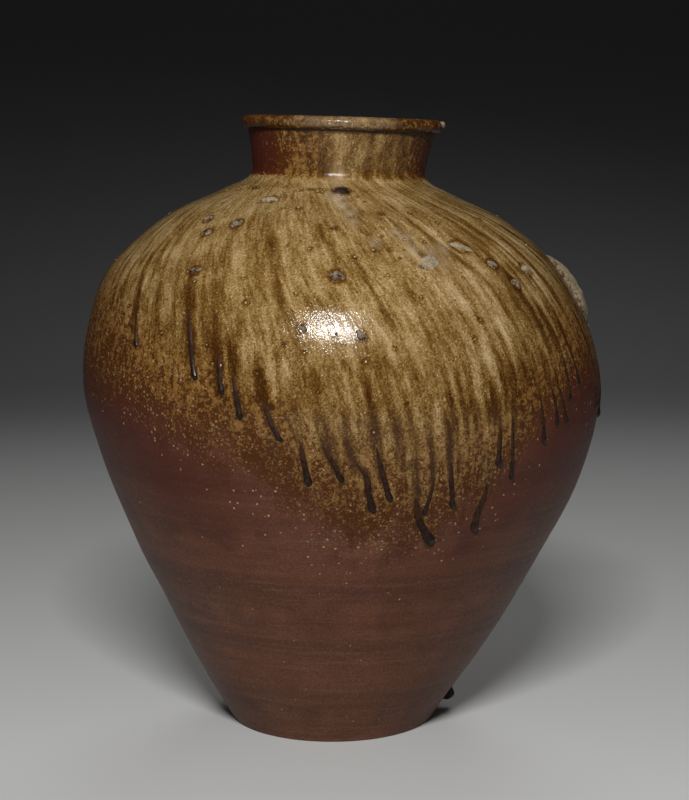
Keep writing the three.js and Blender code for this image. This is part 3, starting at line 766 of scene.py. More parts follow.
def wall_stage(wall, marks, stage, material, ceiling=None, spread=(1, 1)):
    """One luted stage of the wall as a closed ring: a fine outside, a plain inside and its two end faces.

    A stage is its name, its two ends along the wall, its laps down and up the inside, the columns of
    its mesh and its slot. The outside's normals come from rows that run on past its ends, so the
    stages meet without a line. The inside is bare, but for a little glaze just under a ceiling. A
    spread other than 1 widens or lengthens the glaze's strands.
    """
    name, (low, high), laps, columns, slot = stage
    rows = max(4, int(round((high - low) / marks.outside_step)))
    step = (high - low) / rows
    bearing = np.linspace(-180, 180, columns, endpoint=False)
    along = low + step * np.arange(-1, rows + 2)
    b, s = np.meshgrid(bearing, np.clip(along, 0, wall.length), indexing="xy")
    fields = shared_fields(wall, b, s)
    fields["flow"] = fields["flow"] * np.array([spread[0], spread[0], spread[1]])
    outside = wall.outside(b, s, relief(wall, marks, b, s, fields))
    inner_along = np.linspace(high - laps[1], low - laps[0], 9)
    b, s = np.meshgrid(bearing, inner_along, indexing="xy")
    radius, height = wall.section(s, -wall.thickness(s))
    if ceiling is not None:
        height = np.minimum(height, ceiling)
    inside = wall.place(b, radius, height)
    plain = unglazed(compass(b, s), below=0.15, flash=0.1)
    if ceiling is not None:
        splashed = 30 * MM
        plain["cover"] = np.where(height > ceiling - splashed, 0.6, -5.0)
    points = np.concatenate([outside[1:-1], inside])
    normals = np.concatenate([grid_normals(outside)[1:-1], grid_normals(inside)])
    fields = {key: np.concatenate([fields[key][1:-1], plain[key]]) for key in plain}
    faces = [grid_faces(len(points), columns, close_rows=True)]
    return make_piece(name + "_skin", points, faces, material, slot, [name], fields, normals)


def base_slab(wall, marks, material):
    """The slab under the jar: flat beneath, a worn round edge, then the wall's first rise."""
    columns, edge = 640, 2.5 * MM
    top = wall.at_height(wall.sizes.base_thickness)
    step = marks.outside_step
    bearing = np.linspace(-180, 180, columns, endpoint=False)[None, :]
    rim = np.concatenate([np.linspace(edge, top, 14), [top + step]])[:, None]
    b, s = bearing + 0 * rim, rim + 0 * bearing
    fields = shared_fields(wall, b, s)
    rise = wall.outside(b, s, relief(wall, marks, b, s, fields))
    corner_r, corner_z = wall.section(edge + 0 * bearing)
    turn = np.linspace(0, np.pi / 2, 7, endpoint=False)[:, None]
    worn = 0.5 * MM * lattice_noise("foot wear", bearing, 0 * bearing)
    round_r = corner_r - edge * (1 - np.sin(turn)) - worn * np.cos(turn)
    rounded = wall.place(b[:1], round_r, corner_z * (1 - np.cos(turn)) + 0 * round_r)
    low_r = np.linspace(0.1, 0.97, 8)[:, None] * round_r[:1]
    low = wall.place(b[:1], low_r, 0 * low_r)
    floor_r, floor_z = wall.section(np.array([[top]]))
    lid_r = np.linspace(0.97, 0.1, 6)[:, None] * floor_r + 0 * bearing
    lid = wall.place(b[:1], lid_r, floor_z + 0 * lid_r)
    # Rings from under the foot outwards, round its worn edge, up the wall and in over the top
    side = np.concatenate([rounded, rise])
    rings = np.concatenate([low, side[:-1], lid])
    poles = wall.place(np.zeros(2), np.zeros(2), np.array([0.0, floor_z[0, 0]]))
    up = np.array([0.0, 0.0, 1.0])
    normals = np.concatenate([0 * low - up, grid_normals(side)[:-1], 0 * lid + up]).reshape(-1, 3)
    normals = np.concatenate([normals, [-up, up]])
    points = np.concatenate([rings.reshape(-1, 3), poles])
    count = rings.shape[0] * columns
    faces = [
        grid_faces(rings.shape[0], columns),
        fan_faces(count, 0, columns, flip=True),
        fan_faces(count + 1, count - columns, columns),
    ]
    whole = unglazed(points * 5, below=0.2, flash=0.0)
    first = (low.shape[0] + rounded.shape[0]) * columns
    last = count - lid.shape[0] * columns
    for key, values in fields.items():
        whole[key][first:last] = values[:-1].reshape(-1, *whole[key].shape[1:])
    return make_piece(
        "base_slab_skin", points, faces, material, "bare_clay", ["base_slab"], whole, normals
    )


def lip_point(wall, bearing, turn, out):
    """Point on the lip: an ellipse squared a little at its quarters, at `turn` radians up from outside."""
    s = wall.sizes
    centre_r = s.neck_top_radius + s.lip_overhang - s.lip_half_width
    centre_z = s.neck_foot_height + s.neck_length + JOINT_LINE + s.lip_half_height * LIP_SEAT
    square = 1 + 0.05 * np.cos(2 * turn) ** 2
    radius = centre_r + (s.lip_half_width + out) * np.cos(turn) / square
    return wall.place(bearing, radius, centre_z + (s.lip_half_height + out) * np.sin(turn))


def lip_unevenness(bearing, turn):
    """How far the lip stands out of its plain ellipse: broad waves from fingers, and small nicks."""
    waves = lattice_noise("finger waves", bearing, turn)
    waves = waves + 0.6 * lattice_noise("finger ripples", bearing, turn)
    nicks = ease(0.72, 0.95, lattice_noise("lip nicks", bearing, turn))
    return 0.45 * MM * (waves - 1.5) - 0.5 * MM * nicks


def rolled_lip(wall, material):
    """The lip: an oval bead with a flat seat, a little uneven, mottled with glaze worn off its crest, with
    a pale painted sheen over its front.
    """
    columns, rows = 720, 64
    seat = np.arcsin(LIP_SEAT)
    bearing = np.linspace(-180, 180, columns, endpoint=False)
    turn = np.linspace(-seat, np.pi + seat, rows)
    b, t = np.meshgrid(bearing, turn, indexing="xy")
    points = lip_point(wall, b, t, lip_unevenness(b, t))
    worn = lattice_noise("worn patches", b, t) + 0.6 * lattice_noise("worn grain", b, t) - 0.8
    cover, thick = (round_table(b, LIP_GLAZE, column) for column in (1, 2))
    crest = bell((t - 1.3) / 0.16) * ease(0.3, 0.6, lattice_noise("crest gaps", b, 0 * t))
    fields = {
        "ash": thick + 0.43 + 0.42 * worn + 0.3 * crest,
        "cover": cover + 1.2 * worn - 2.0 * crest,
        "below": np.clip(-0.01 * cover, -0.02, 0.01),
        "flash": ease(1.0, -0.6, cover),
        # Pale milky colour over the lip's front: painted sheen
        "milk": 0.25 * ease(1.2, 2.3, cover),
        "flow": compass(b, 0.02 * t),
    }
    faces = [grid_faces(rows, columns, close_rows=True)]
    normals = grid_normals(points)
    return make_piece(
        "rolled_lip_skin", points, faces, material, "ash_glaze", ["rolled_lip"], fields, normals
    )


def dressed_wall(wall, marks, bearing, along, offset):
    """Point at an offset from the dressed outside."""
    fields = glaze_fields(wall, bearing, along)
    return wall.outside(bearing, along, relief(wall, marks, bearing, along, fields) + offset)


def glass_run(wall, marks, path, width, thick, seed):
    """Points, faces and fields of one run of glass.

    Its middle follows a curve down the wall. Its section is a half lens, rise * (1 - v^2)^0.7, sunk a
    little into the wall. It starts as a thin thread under the glaze, rises and swells as it goes and
    ends in a round drop.
    """
    rng = np.random.default_rng(seed)
    rows, columns = 90, 21
    sunk = 0.25 * MM
    tail = (path[0][0] - 0.8, path[0][1] + 9 * MM)
    line = spline((tail, *path), 400)
    steps = np.hypot(
        np.diff(np.radians(line[:, 0])) * wall.radius_at(line[:, 1])[1:], np.diff(line[:, 1])
    )
    travelled = np.concatenate([[0], np.cumsum(steps)])
    whole = travelled[-1]
    share = np.sin(np.linspace(0, 1, rows) * np.pi / 2)
    at = np.clip(share * whole, 1e-5, whole - 1e-5)
    middle_b = np.interp(at, travelled, line[:, 0])
    middle_s = np.interp(at, travelled, line[:, 1])

    # Half widths and heights down the run: back is the way to its end, in drop sizes
    back = (whole - at) / (width * 0.9)
    bulge = bell(back - 0.8)
    closing = np.where(back < 1, np.sqrt(np.clip(back * (2 - back), 0, 1)), 1)
    grown = ease(0, 0.55, share)
    raised = ease(0.1, 0.8, share)
    waver = 1 + 0.16 * (np.interp(at, np.linspace(0, whole, 12), rng.random(12)) - 0.5)
    half = width / 2 * (0.45 + 0.55 * grown + 0.36 * bulge) * closing * waver
    half = half * np.minimum(1, 0.2 + share * 8)
    rise = (thick * (0.85 * raised + 0.55 * bulge) - 0.15 * MM * (1 - raised)) * closing

    # The lens over the wall, and its underside bedded in it
    v = np.linspace(-1, 1, columns)
    lens = np.maximum(1 - v**2, 0) ** 0.7
    side = v[None, :] * half[:, None]
    top = rise[:, None] * lens[None, :]
    bearing = middle_b[:, None] + np.degrees(side / wall.radius_at(middle_s)[:, None])
    along = middle_s[:, None] + 0 * side
    upper = dressed_wall(wall, marks, bearing, along, top - sunk * (1 - lens[None, :]))
    bed = -sunk - 0.1 * MM * lens[None, 1:-1]
    lower = dressed_wall(wall, marks, bearing[:, 1:-1], along[:, 1:-1], bed)
    ring = np.concatenate([upper, lower[:, ::-1]], 1)
    count = ring.shape[1]
    ends = np.stack([ring[0].mean(0), ring[-1].mean(0)])
    points = np.concatenate([ring.reshape(-1, 3), ends])
    last = rows * count
    faces = [
        grid_faces(rows, count),
        fan_faces(last, 0, count, flip=True),
        fan_faces(last + 1, last - count, count),
    ]
    down = np.concatenate([np.repeat(share, count), [0, 1]])
    return points, faces, {"down": down}


def lump(surface, radius, middle, sizes, seed, turn=0, rings=14, sides=40, ragged=0.16, flat=2.6,
         rough=0.12):
    """Points, faces, rims and places of a rough dome bedded on a surface of the given radius.

    Its middle is a bearing and a distance along, and its sizes are its half width, half height and
    thickness in mm. Its outline is an ellipse made ragged by a few waves and turned by some degrees.
    Its height is thick * (1 - r^flat), roughened. Its rims are 0 at the crown and 1 at the edge. Its
    places are each point's bearing and along.
    """
    bearing, along = middle
    across, up, thick = (size * MM for size in sizes)
    turn = np.radians(turn)
    rng = np.random.default_rng(seed)
    phase = rng.random(6) * 6.28
    a = np.linspace(0, 2 * np.pi, sides, endpoint=False)[None, :]
    r = np.linspace(0, 1, rings + 1)[1:, None]
    edge = 1 + ragged * (
        np.sin(2 * a + phase[0]) + 0.7 * np.sin(3 * a + phase[1]) + 0.5 * np.sin(5 * a + phase[2])
        + 0.3 * np.sin(9 * a + phase[3])
    )
    x = np.cos(a) * across * r * edge
    y = np.sin(a) * up * r * edge
    side = x * np.cos(turn) - y * np.sin(turn)
    rise = x * np.sin(turn) + y * np.cos(turn)
    grit = rng.random((rings, sides)) - 0.5
    waves = np.sin(4 * a + 7 * r + phase[4]) * np.sin(3 * a - 5 * r + phase[5]) * ease(0, 0.5, r)
    out = thick * (1 - r**flat) * (1 + rough * waves + rough * grit * r)
    place_b = bearing + np.degrees(side / radius)
    place_s = along + rise

    # The dome, then its underside: two rings below the wall's face, the lower one half as wide
    bed = -0.35 * MM
    top = surface(place_b, place_s, out - 0.3 * MM * r**8)
    base = surface(place_b[[-1, -1]], place_s[[-1, -1]], np.full((2, sides), bed))
    base[1] = base[1].mean(0) + (base[0] - base[0].mean(0)) * 0.5
    crown = surface(np.array([bearing]), np.array([along]), np.array([thick]))
    foot = base[0].mean(0, keepdims=True)
    points = np.concatenate([crown, top.reshape(-1, 3), base.reshape(-1, 3), foot])
    rims = np.concatenate([[0], np.repeat(r.ravel(), sides), np.ones(2 * sides + 1)])
    places = [
        np.concatenate([[at], values.ravel(), values[[-1, -1]].ravel(), [at]])
        for at, values in ((bearing, place_b), (along, place_s))
    ]
    count = (rings + 2) * sides
    faces = [
        fan_faces(0, 1, sides, flip=True),
        grid_faces(rings + 2, sides, start=1),
        fan_faces(count + 1, count + 1 - sides, sides),
    ]
    return points, faces, rims, places


# The kinds of node that the materials use, each with its settings
COORDINATES = ("TexCoord", {})
STRETCH = ("Mapping", {})
SPLIT = ("SeparateXYZ", {})
JOIN = ("CombineXYZ", {})
SPLIT_COLOUR = ("SeparateColor", {})
NOISE = ("TexNoise", {})
SCATTER = ("TexVoronoi", {})
RAMP = ("ValToRGB", {})
RAYS = ("LightPath", {})
BUMP = ("Bump", {})
SHADER = ("BsdfPrincipled", {})
OUTPUT = ("OutputMaterial", {})
EASED = ("MapRange", {"interpolation_type": "SMOOTHSTEP"})
TINT = ("Mix", {"data_type": "RGBA"})
PLUS = ("Math", {"operation": "ADD"})
MINUS = ("Math", {"operation": "SUBTRACT"})
TIMES = ("Math", {"operation": "MULTIPLY"})
LARGER = ("Math", {"operation": "MAXIMUM"})


def put(tree, kind, *inputs, **named):
    """Adds a node of a kind and returns it.

    Inputs fill the sockets in use in order, or go by name, with underscores for spaces. A node is
    linked from its first output in use and a socket as it is. Anything else is set as a value.
    """
    name, settings = kind
    node = tree.nodes.new("ShaderNode" + name)
    for key, value in settings.items():
        setattr(node, key, value)
    pairs = list(zip([socket for socket in node.inputs if socket.enabled], inputs))
    pairs += [(node.inputs[key.replace("_", " ")], value) for key, value in named.items()]
    for socket, value in pairs:
        if isinstance(value, bpy.types.Node):
            value = next(output for output in value.outputs if output.enabled)
        if isinstance(value, bpy.types.NodeSocket):
            tree.links.new(value, socket)
        else:
            socket.default_value = value
    return node


def new_material(name):
    """An empty material, and `put` tied to its tree as `add`."""
    material = bpy.data.materials.new(name)
    material.use_nodes = True
    material.node_tree.nodes.clear()
    return material, partial(put, material.node_tree)


def attributes(add, *names):
    """A piece's own attributes of one number each."""
    return [add(("Attribute", {"attribute_name": name})).outputs["Fac"] for name in names]


def total(add, *values):
    """The sum of several values."""
    return reduce(partial(add, PLUS), values)


def stirred(add, value, *patterns):
    """A value with noises stirred in, each spread over plus and minus half of its weight."""
    for pattern, weight in patterns:
        value = add(PLUS, value, add(EASED, pattern, 0.33, 0.67, -0.5 * weight, 0.5 * weight))
    return value


def cells(add, place, spacing):
    """Distance to the nearest of scattered points, and two chances that are the same all over a cell."""
    points = add(SCATTER, Vector=place, Scale=1 / spacing)
    chances = add(SPLIT_COLOUR, points.outputs["Color"])
    return points.outputs["Distance"], chances.outputs[0], chances.outputs[1]


def bare_clay(add, look, marks, place, below, flash, blotch, sand):
    """Colour and relief of the clay: brown, redder towards the glaze and darker red at the sides as
    painted shade, sandy, flecked with ash.
    """
    flash = add(TIMES, flash, add(EASED, blotch, 0.25, 0.7, 0.9, 1.0))
    height = add(SPLIT, place).outputs[2]
    level = add(JOIN, add(TIMES, height, 1 / (26 * MM)), blotch)
    bands = add(NOISE, level, 1.0, 2.0, 0.5)
    wiped = add(NOISE, add(STRETCH, Vector=place, Scale=(14, 14, 260)), 1.0, 3.0, 0.6)
    tint = add(TINT, add(EASED, bands, 0.38, 0.66, 0.0, 0.7), look.clay_brown, look.clay_dark)
    tint = add(TINT, add(EASED, blotch, 0.35, 0.75, 0.0, 0.4), tint, look.clay_dark)
    tint = add(TINT, add(EASED, wiped, 0.5, 0.72, 0.0, 0.4), tint, look.clay_sand)
    # Dark red of flashing, which at the sides is painted shade
    tint = add(TINT, flash, tint, look.clay_red_and_side_shade)
    # Grains of dark and of light sand, quieter where the clay is flashed
    sandy = add(EASED, flash, 0.0, 1.0, 1.0, 0.15)
    for low, high, most, grain in (
        (0.48, 0.64, 0.6, look.clay_dark),
        (0.46, 0.34, 0.45, look.clay_sand),
    ):
        tint = add(TINT, add(TIMES, add(EASED, sand, low, high, 0.0, most), sandy), tint, grain)
    # Flecks of ash, more and paler towards the glaze, fewer where the clay is flashed
    away, chance, size = cells(add, place, marks.ash_fleck)
    near = add(EASED, stirred(add, below, (blotch, 0.03)), 0.1, -0.02)
    wanted = add(TIMES, add(TIMES, near, near), add(EASED, flash, 0.3, 0.9, 1.3, 0.5))
    chosen = add(EASED, add(MINUS, add(PLUS, 0.05, wanted), chance), -0.01, 0.06)
    reach = add(TIMES, add(EASED, size, 0.0, 1.0, 0.15, 0.35), chosen)
    fleck = add(EASED, add(MINUS, reach, stirred(add, away, (sand, 0.2))), 0.0, 0.08)
    shown = add(TIMES, fleck, add(EASED, size, 0.0, 0.7, 0.4, 0.95))
    amber = add(EASED, chance, 0.15, 0.45, 0.0, near)
    tint = add(TINT, shown, tint, add(TINT, amber, look.fleck, look.ash_amber))
    return tint, add(PLUS, sand, add(TIMES, fleck, 0.6))


def ash_glazed_stoneware(look, marks):
    """Iron-bearing stoneware with a natural ash glaze.

    The eye sees a semi-matt, sandy, red-brown clay, flashed redder near the glaze, darker red at the sides
    as painted shade, and flecked with ash, and over it a glossy, runny glass: pale and clouded where thin,
    olive to near black where it pooled, finely mottled, pitted, and breaking into amber grains at its
    edge.
    """
    material, add = new_material("wood_fired_ash_glazed_stoneware")
    place = add(COORDINATES).outputs["Object"]
    ash, cover, below, flash, milk = attributes(add, "ash", "cover", "below", "flash", "milk")
    flow = add(("Attribute", {"attribute_name": "flow"})).outputs["Vector"]
    # Patterns drawn out along the flow, then patterns of one size each way
    strands, hairs = (
        add(NOISE, add(STRETCH, Vector=flow, Scale=scale), 1.0, 3.0, 0.6)
        for scale in ((25, 25, 36), (64, 64, 85))
    )
    mottle = add(NOISE, place, 1 / marks.glaze_mottle, 2.0, 0.6)
    crystal = add(NOISE, place, 2.3 / marks.glaze_mottle, 1.0, 0.5)
    blotch = add(NOISE, place, 1 / (22 * MM), 3.0, 0.5)
    sand = add(NOISE, place, 1 / marks.clay_grain, 3.0, 0.7)
    clump = add(NOISE, place, 1 / (4.5 * MM), 2.0, 0.6)
    edging = add(TIMES, add(EASED, cover, -3.2, -0.4), add(EASED, cover, 2.4, 0.9))
    # Glaze depth: the streaks, their strands and hairs, and the fine mottling of crystals
    fine = stirred(add, 0.0, (strands, 0.24), (hairs, 0.2), (mottle, 0.28), (crystal, 0.2))
    deep = add(PLUS, ash, add(TIMES, fine, add(EASED, below, -0.1, 0.0, 0.85, 1.2)))
    clumps = add(TIMES, edging, stirred(add, 0.0, (clump, 0.5)))
    deep = add(PLUS, stirred(add, deep, (blotch, 0.16)), clumps)
    # Pale crumbs of ash and dark dots of iron in the glaze
    away, chance, _size = cells(add, place, 2.6 * MM)
    spot = add(EASED, away, 0.34, 0.16)
    crumb = add(TIMES, spot, add(EASED, chance, 0.80, 0.84))
    dot = add(TIMES, spot, add(EASED, chance, 0.10, 0.07))
    deep = total(add, deep, add(TIMES, crumb, -0.28), add(TIMES, dot, 0.3))
    # Glaze colour by depth, clouded where it is milky and where a pale sheen is painted, and amber where
    # it is thin
    stops = (
        (0.08, look.ash_cream), (0.34, look.ash_pale), (0.53, look.ash_tan), (0.72, look.ash_olive),
        (0.96, look.ash_dark),
    )
    ramp = add(RAMP, add(PLUS, add(TIMES, deep, 0.7), 0.25))
    elements = ramp.color_ramp.elements
    while len(elements) < len(stops):
        elements.new(0.5)
    for element, (position, tint) in zip(elements, stops):
        element.position = position
        element.color = tint
    # Milky clouding, partly a painted pale sheen
    milky = add(TIMES, milk, add(EASED, mottle, 0.42, 0.58, 0.1, 1.3))
    glaze = add(TINT, milky, ramp, look.ash_milk_and_sheen)
    thin = add(TIMES, add(EASED, cover, 2.8, 0.3, 0.0, 0.85), add(EASED, deep, 1.05, 0.5))
    glaze = add(TINT, thin, glaze, look.ash_amber)
    tint, tooth = bare_clay(add, look, marks, place, below, flash, blotch, sand)
    stained = add(EASED, stirred(add, cover, (blotch, 1.2), (sand, 0.8)), -2.6, -0.6)
    tint = add(TINT, stained, tint, look.clay_stained)
    # Grains of half-melted ash strewn through the edge, amber to cream
    near, luck, _size = cells(add, place, 2.3 * MM)
    chosen = add(EASED, stirred(add, luck, (clump, -0.9)), 0.5, 0.62)
    edged = add(TIMES, edging, add(EASED, ash, 0.9, 0.65, 0.1, 0.68))
    speck = add(TIMES, add(TIMES, add(EASED, near, 0.48, 0.26), chosen), edged)
    speck_tint = add(TINT, add(EASED, luck, 0.7, 1.0), look.ash_amber, look.fleck)
    # The glaze breaks into grains at its edge
    ragged = stirred(
        add, cover, (mottle, -1.8), (crystal, -1.5), (strands, 1.4), (hairs, -0.8), (clump, -1.2)
    )
    glazed = add(EASED, add(PLUS, ragged, crumb), 0.0, 0.35)
    bare = add(MINUS, 1.0, glazed)
    matt = add(TIMES, add(EASED, sand, 0.2, 0.8, 0.4, 0.6), bare)
    gloss = add(TIMES, add(EASED, mottle, 0.3, 0.7, 0.05, 0.13), glazed)
    # Fine relief: sandy clay, orange-peel glass and its pits
    hollow, pitted, _size = cells(add, place, marks.pit_spacing)
    pit = add(TIMES, add(EASED, hollow, 0.0, 0.16, -1.0, 0.0), add(EASED, pitted, 0.6, 0.62))
    peel = stirred(add, 0.0, (mottle, 0.3), (crystal, 0.1), (strands, 0.9))
    peel = total(add, peel, add(TIMES, crumb, 0.35), pit)
    height = total(add, add(TIMES, tooth, bare), add(TIMES, peel, glazed), add(TIMES, glazed, 0.5))
    bump = add(BUMP, Height=height, Strength=0.7, Distance=0.17 * MM)
    tint = add(TINT, speck, add(TINT, glazed, tint, glaze), speck_tint)
    rough = add(PLUS, matt, gloss)
    add(OUTPUT, add(SHADER, Base_Color=tint, Roughness=rough, Normal=bump, IOR=1.31, Metallic=0.0))
    return material


def run_glass(look):
    """Ash glass that ran and gathered: thin and amber at its start, thick, black and wet at its drop."""
    material, add = new_material("pooled_ash_glass")
    place = add(COORDINATES).outputs["Object"]
    (down,) = attributes(add, "down")
    cloud = add(NOISE, place, 1 / (3 * MM), 2.0, 0.55)
    deep = add(EASED, stirred(add, down, (cloud, 0.7)), 0.35, 0.95)
    tint = add(TINT, deep, look.glass_thin, look.glass_deep)
    smooth = add(EASED, down, 0.75, 1.0, 0.6, 0.16)
    rough = add(PLUS, smooth, add(EASED, cloud, 0.3, 0.7, 0.0, 0.15))
    bump = add(BUMP, Height=cloud, Strength=0.3, Distance=0.3 * MM)
    add(OUTPUT, add(SHADER, Base_Color=tint, Roughness=rough, Normal=bump, IOR=1.34, Metallic=0.0))
    return material


def kiln_crumb(look, name, body, grit, wetted, specks=0.85):
    """Kiln wall, stone or broken clay: gritty and matt, with glaze crept up its rim.

    A body colour and a grit colour mix in patches under dark specks, and the rim is olive and
    glossier. wetted is how far the glaze has crept in, from 0 at the rim towards 1 at the crown.
    """
    material, add = new_material(name)
    place = add(COORDINATES).outputs["Object"]
    (rim,) = attributes(add, "rim")
    coarse = add(NOISE, place, 1 / (4 * MM), 4.0, 0.65)
    fine = add(NOISE, place, 1 / (1.5 * MM), 3.0, 0.7)
    tint = add(TINT, add(EASED, coarse, 0.42, 0.58), body, grit)
    tint = add(TINT, add(EASED, fine, 0.47, 0.62, 0.0, specks), tint, look.crumb_dark)
    crept = add(EASED, stirred(add, rim, (coarse, 0.6)), 1.05 - wetted, 1.15 - wetted / 2)
    glaze = add(TINT, add(EASED, fine, 0.35, 0.55), look.ash_olive, look.ash_dark)
    tint = add(TINT, add(TIMES, crept, 0.85), tint, glaze)
    rough = add(EASED, crept, 0.0, 1.0, 0.7, 0.25)
    height = add(PLUS, coarse, add(TIMES, fine, 0.6))
    bump = add(BUMP, Height=height, Strength=0.9, Distance=0.8 * MM)
    add(OUTPUT, add(SHADER, Base_Color=tint, Roughness=rough, Normal=bump, IOR=1.3, Metallic=0.0))
    return material


def backdrop_paper(look):
    """Plain matt paper: pale on the floor, darkening as painted shade to charcoal where it rises behind
    the jar.

    Where it isn't looked at or reflected it counts as mid grey, so the jar's light comes from the lamps.
    """
    material, add = new_material("matt_backdrop_paper")
    axes = add(SPLIT, add(COORDINATES).outputs["Object"]).outputs
    # Painted shade: darker with height and with distance behind the jar
    rising = add(PLUS, axes[2], add(TIMES, axes[1], 0.25))
    shown = add(TINT, add(EASED, rising, -0.12, 0.5), look.floor, look.backdrop)
    shown = add(TINT, add(EASED, rising, 0.3, 1.35), shown, look.backdrop_top_shade)
    rays = add(RAYS).outputs
    seen = add(LARGER, rays["Is Camera Ray"], rays["Is Glossy Ray"])
    seen = add(LARGER, seen, rays["Is Transmission Ray"])
    tint = add(TINT, seen, look.floor_bounce, shown)
    add(OUTPUT, add(SHADER, Base_Color=tint, Roughness=0.9, IOR=1.5, Metallic=0.0))
    return material


def jar_wall():
    """The jar's wall from the scene's sizes."""
    return Wall(bpy.context.scene.jar_wall)


def stoneware():
    """The wall's material, made once and then found by name."""
    scene = bpy.context.scene
    made = bpy.data.materials.get("wood_fired_ash_glazed_stoneware")
    return made or ash_glazed_stoneware(scene.jar_finishes, scene.jar_surface)


class JAR_OT_clay_wall(bpy.types.Operator):
    """Build the clay stages from foot to neck, with their glaze"""

    bl_idname = "jar.clay_wall"
    bl_label = "Clay Wall"

    def execute(self, context):
        wall, marks = jar_wall(), context.scene.jar_surface
        s = wall.sizes
        material = stoneware()
        base_slab(wall, marks, material)
        seams = [wall.at_height(h) for h in (s.base_thickness, *wall.seams, s.neck_foot_height)]
        lap = s.seam_lap
        for stage in (
            ("lower_wall", (seams[0], seams[1]), (0, lap), 760, "bare_clay"),
            ("middle_wall", (seams[1], seams[2]), (lap, lap), 900, "flashed_clay"),
            ("belly_wall", (seams[2], seams[3]), (lap, lap), 960, "ash_glaze"),
            ("shoulder_wall", (seams[3], seams[4]), (lap, 0), 860, "ash_glaze"),
        ):
            wall_stage(wall, marks, stage, material)
        neck = ("neck_wall", (seams[4], wall.length), (0, 0), 560, "ash_glaze")
        ceiling = s.neck_foot_height + s.neck_length
        wall_stage(wall, marks, neck, material, ceiling, spread=(0.4, 1.6))
        return {"FINISHED"}


class JAR_OT_rolled_lip(bpy.types.Operator):
    """Build the rolled lip round the mouth"""

    bl_idname = "jar.rolled_lip"
    bl_label = "Rolled Lip"

    def execute(self, context):
        rolled_lip(jar_wall(), stoneware())
        return {"FINISHED"}


class JAR_OT_glaze_runs(bpy.types.Operator):
    """Build the runs of dark glass that hang from the glaze's edge"""

    bl_idname = "jar.glaze_runs"
    bl_label = "Glaze Runs"

    def execute(self, context):
        wall, marks = jar_wall(), context.scene.jar_surface
        material = run_glass(context.scene.jar_finishes)
        for i, (path, width, thick) in enumerate(all_runs(wall)):
            name = f"glaze_run_{i + 1:02d}"
            points, faces, fields = glass_run(wall, marks, path, width * MM, thick * MM, 100 + i)
            make_piece(name + "_glass", points, faces, material, "run_glass", [name], fields)
        return {"FINISHED"}


class JAR_OT_kiln_debris(bpy.types.Operator):
    """Build the grit, the shard, the clod and the lip's crumb that the glaze holds"""

    bl_idname = "jar.kiln_debris"
    bl_label = "Kiln Debris"

    def execute(self, context):
        wall, marks, look = jar_wall(), context.scene.jar_surface, context.scene.jar_finishes
        pale, dark, shard = look.crumb_pale, look.crumb_dark, look.shard_clay
        kinds = {
            kind: kiln_crumb(look, *finish)
            for kind, finish in (
                ("pale", ("pale_kiln_crumb", pale, shard, 0.15, 0.35)),
                ("dark", ("scorched_kiln_crumb", shard, dark, 0.42, 0.6)),
                ("shard", ("broken_pot_shard", shard, pale, 0.12, 0.45)),
                ("slag", ("fused_kiln_floor", look.glass_deep, dark, 0.0)),
            )
        }
        on_wall = partial(dressed_wall, wall, marks)

        def on_lip(bearing, along, offset):
            turn = along / wall.sizes.lip_half_width
            return lip_point(wall, bearing, turn, offset + lip_unevenness(bearing, turn))

        def stick(name, kind, slot, *place, **shape):
            points, faces, rims, _places = lump(*place, **shape)
            make_piece(name + "_rough", points, faces, kinds[kind], slot, [name], {"rim": rims})

        def bed(name, kind, slot, bearing, level, sizes, seed, **shape):
            along = wall.at_level(level)
            middle = (bearing, along)
            stick(name, kind, slot, on_wall, wall.radius_at(along), middle, sizes, seed, **shape)

        for i, (bearing, level, across, up, thick, turn, kind) in enumerate(GRIT):
            name = f"kiln_grit_{i + 1:02d}"
            bed(name, kind, "kiln_debris", bearing, level, (across, up, thick), 200 + i, turn=turn)
        bed("kiln_shard", "shard", "kiln_debris", SHARD["bearing"], SHARD["level"],
            (SHARD["across"], SHARD["up"], SHARD["thick"]), 300,
            rings=40, sides=140, ragged=0.1, flat=2.6, rough=0.1)
        bed("foot_clod", "slag", "run_glass", CLOD["bearing"], CLOD["level"],
            (CLOD["across"], CLOD["up"], CLOD["thick"]), 301,
            rings=24, sides=70, ragged=0.07, rough=0.08)
        crumb, size = LIP_CRUMB, wall.sizes
        middle = (crumb["bearing"], np.radians(crumb["turn"]) * size.lip_half_width)
        stick("lip_crumb", "shard", "kiln_debris", on_lip, size.neck_top_radius + size.lip_overhang,
              middle, (crumb["across"], crumb["up"], crumb["thick"]), 302, rings=16, sides=48)
        return {"FINISHED"}


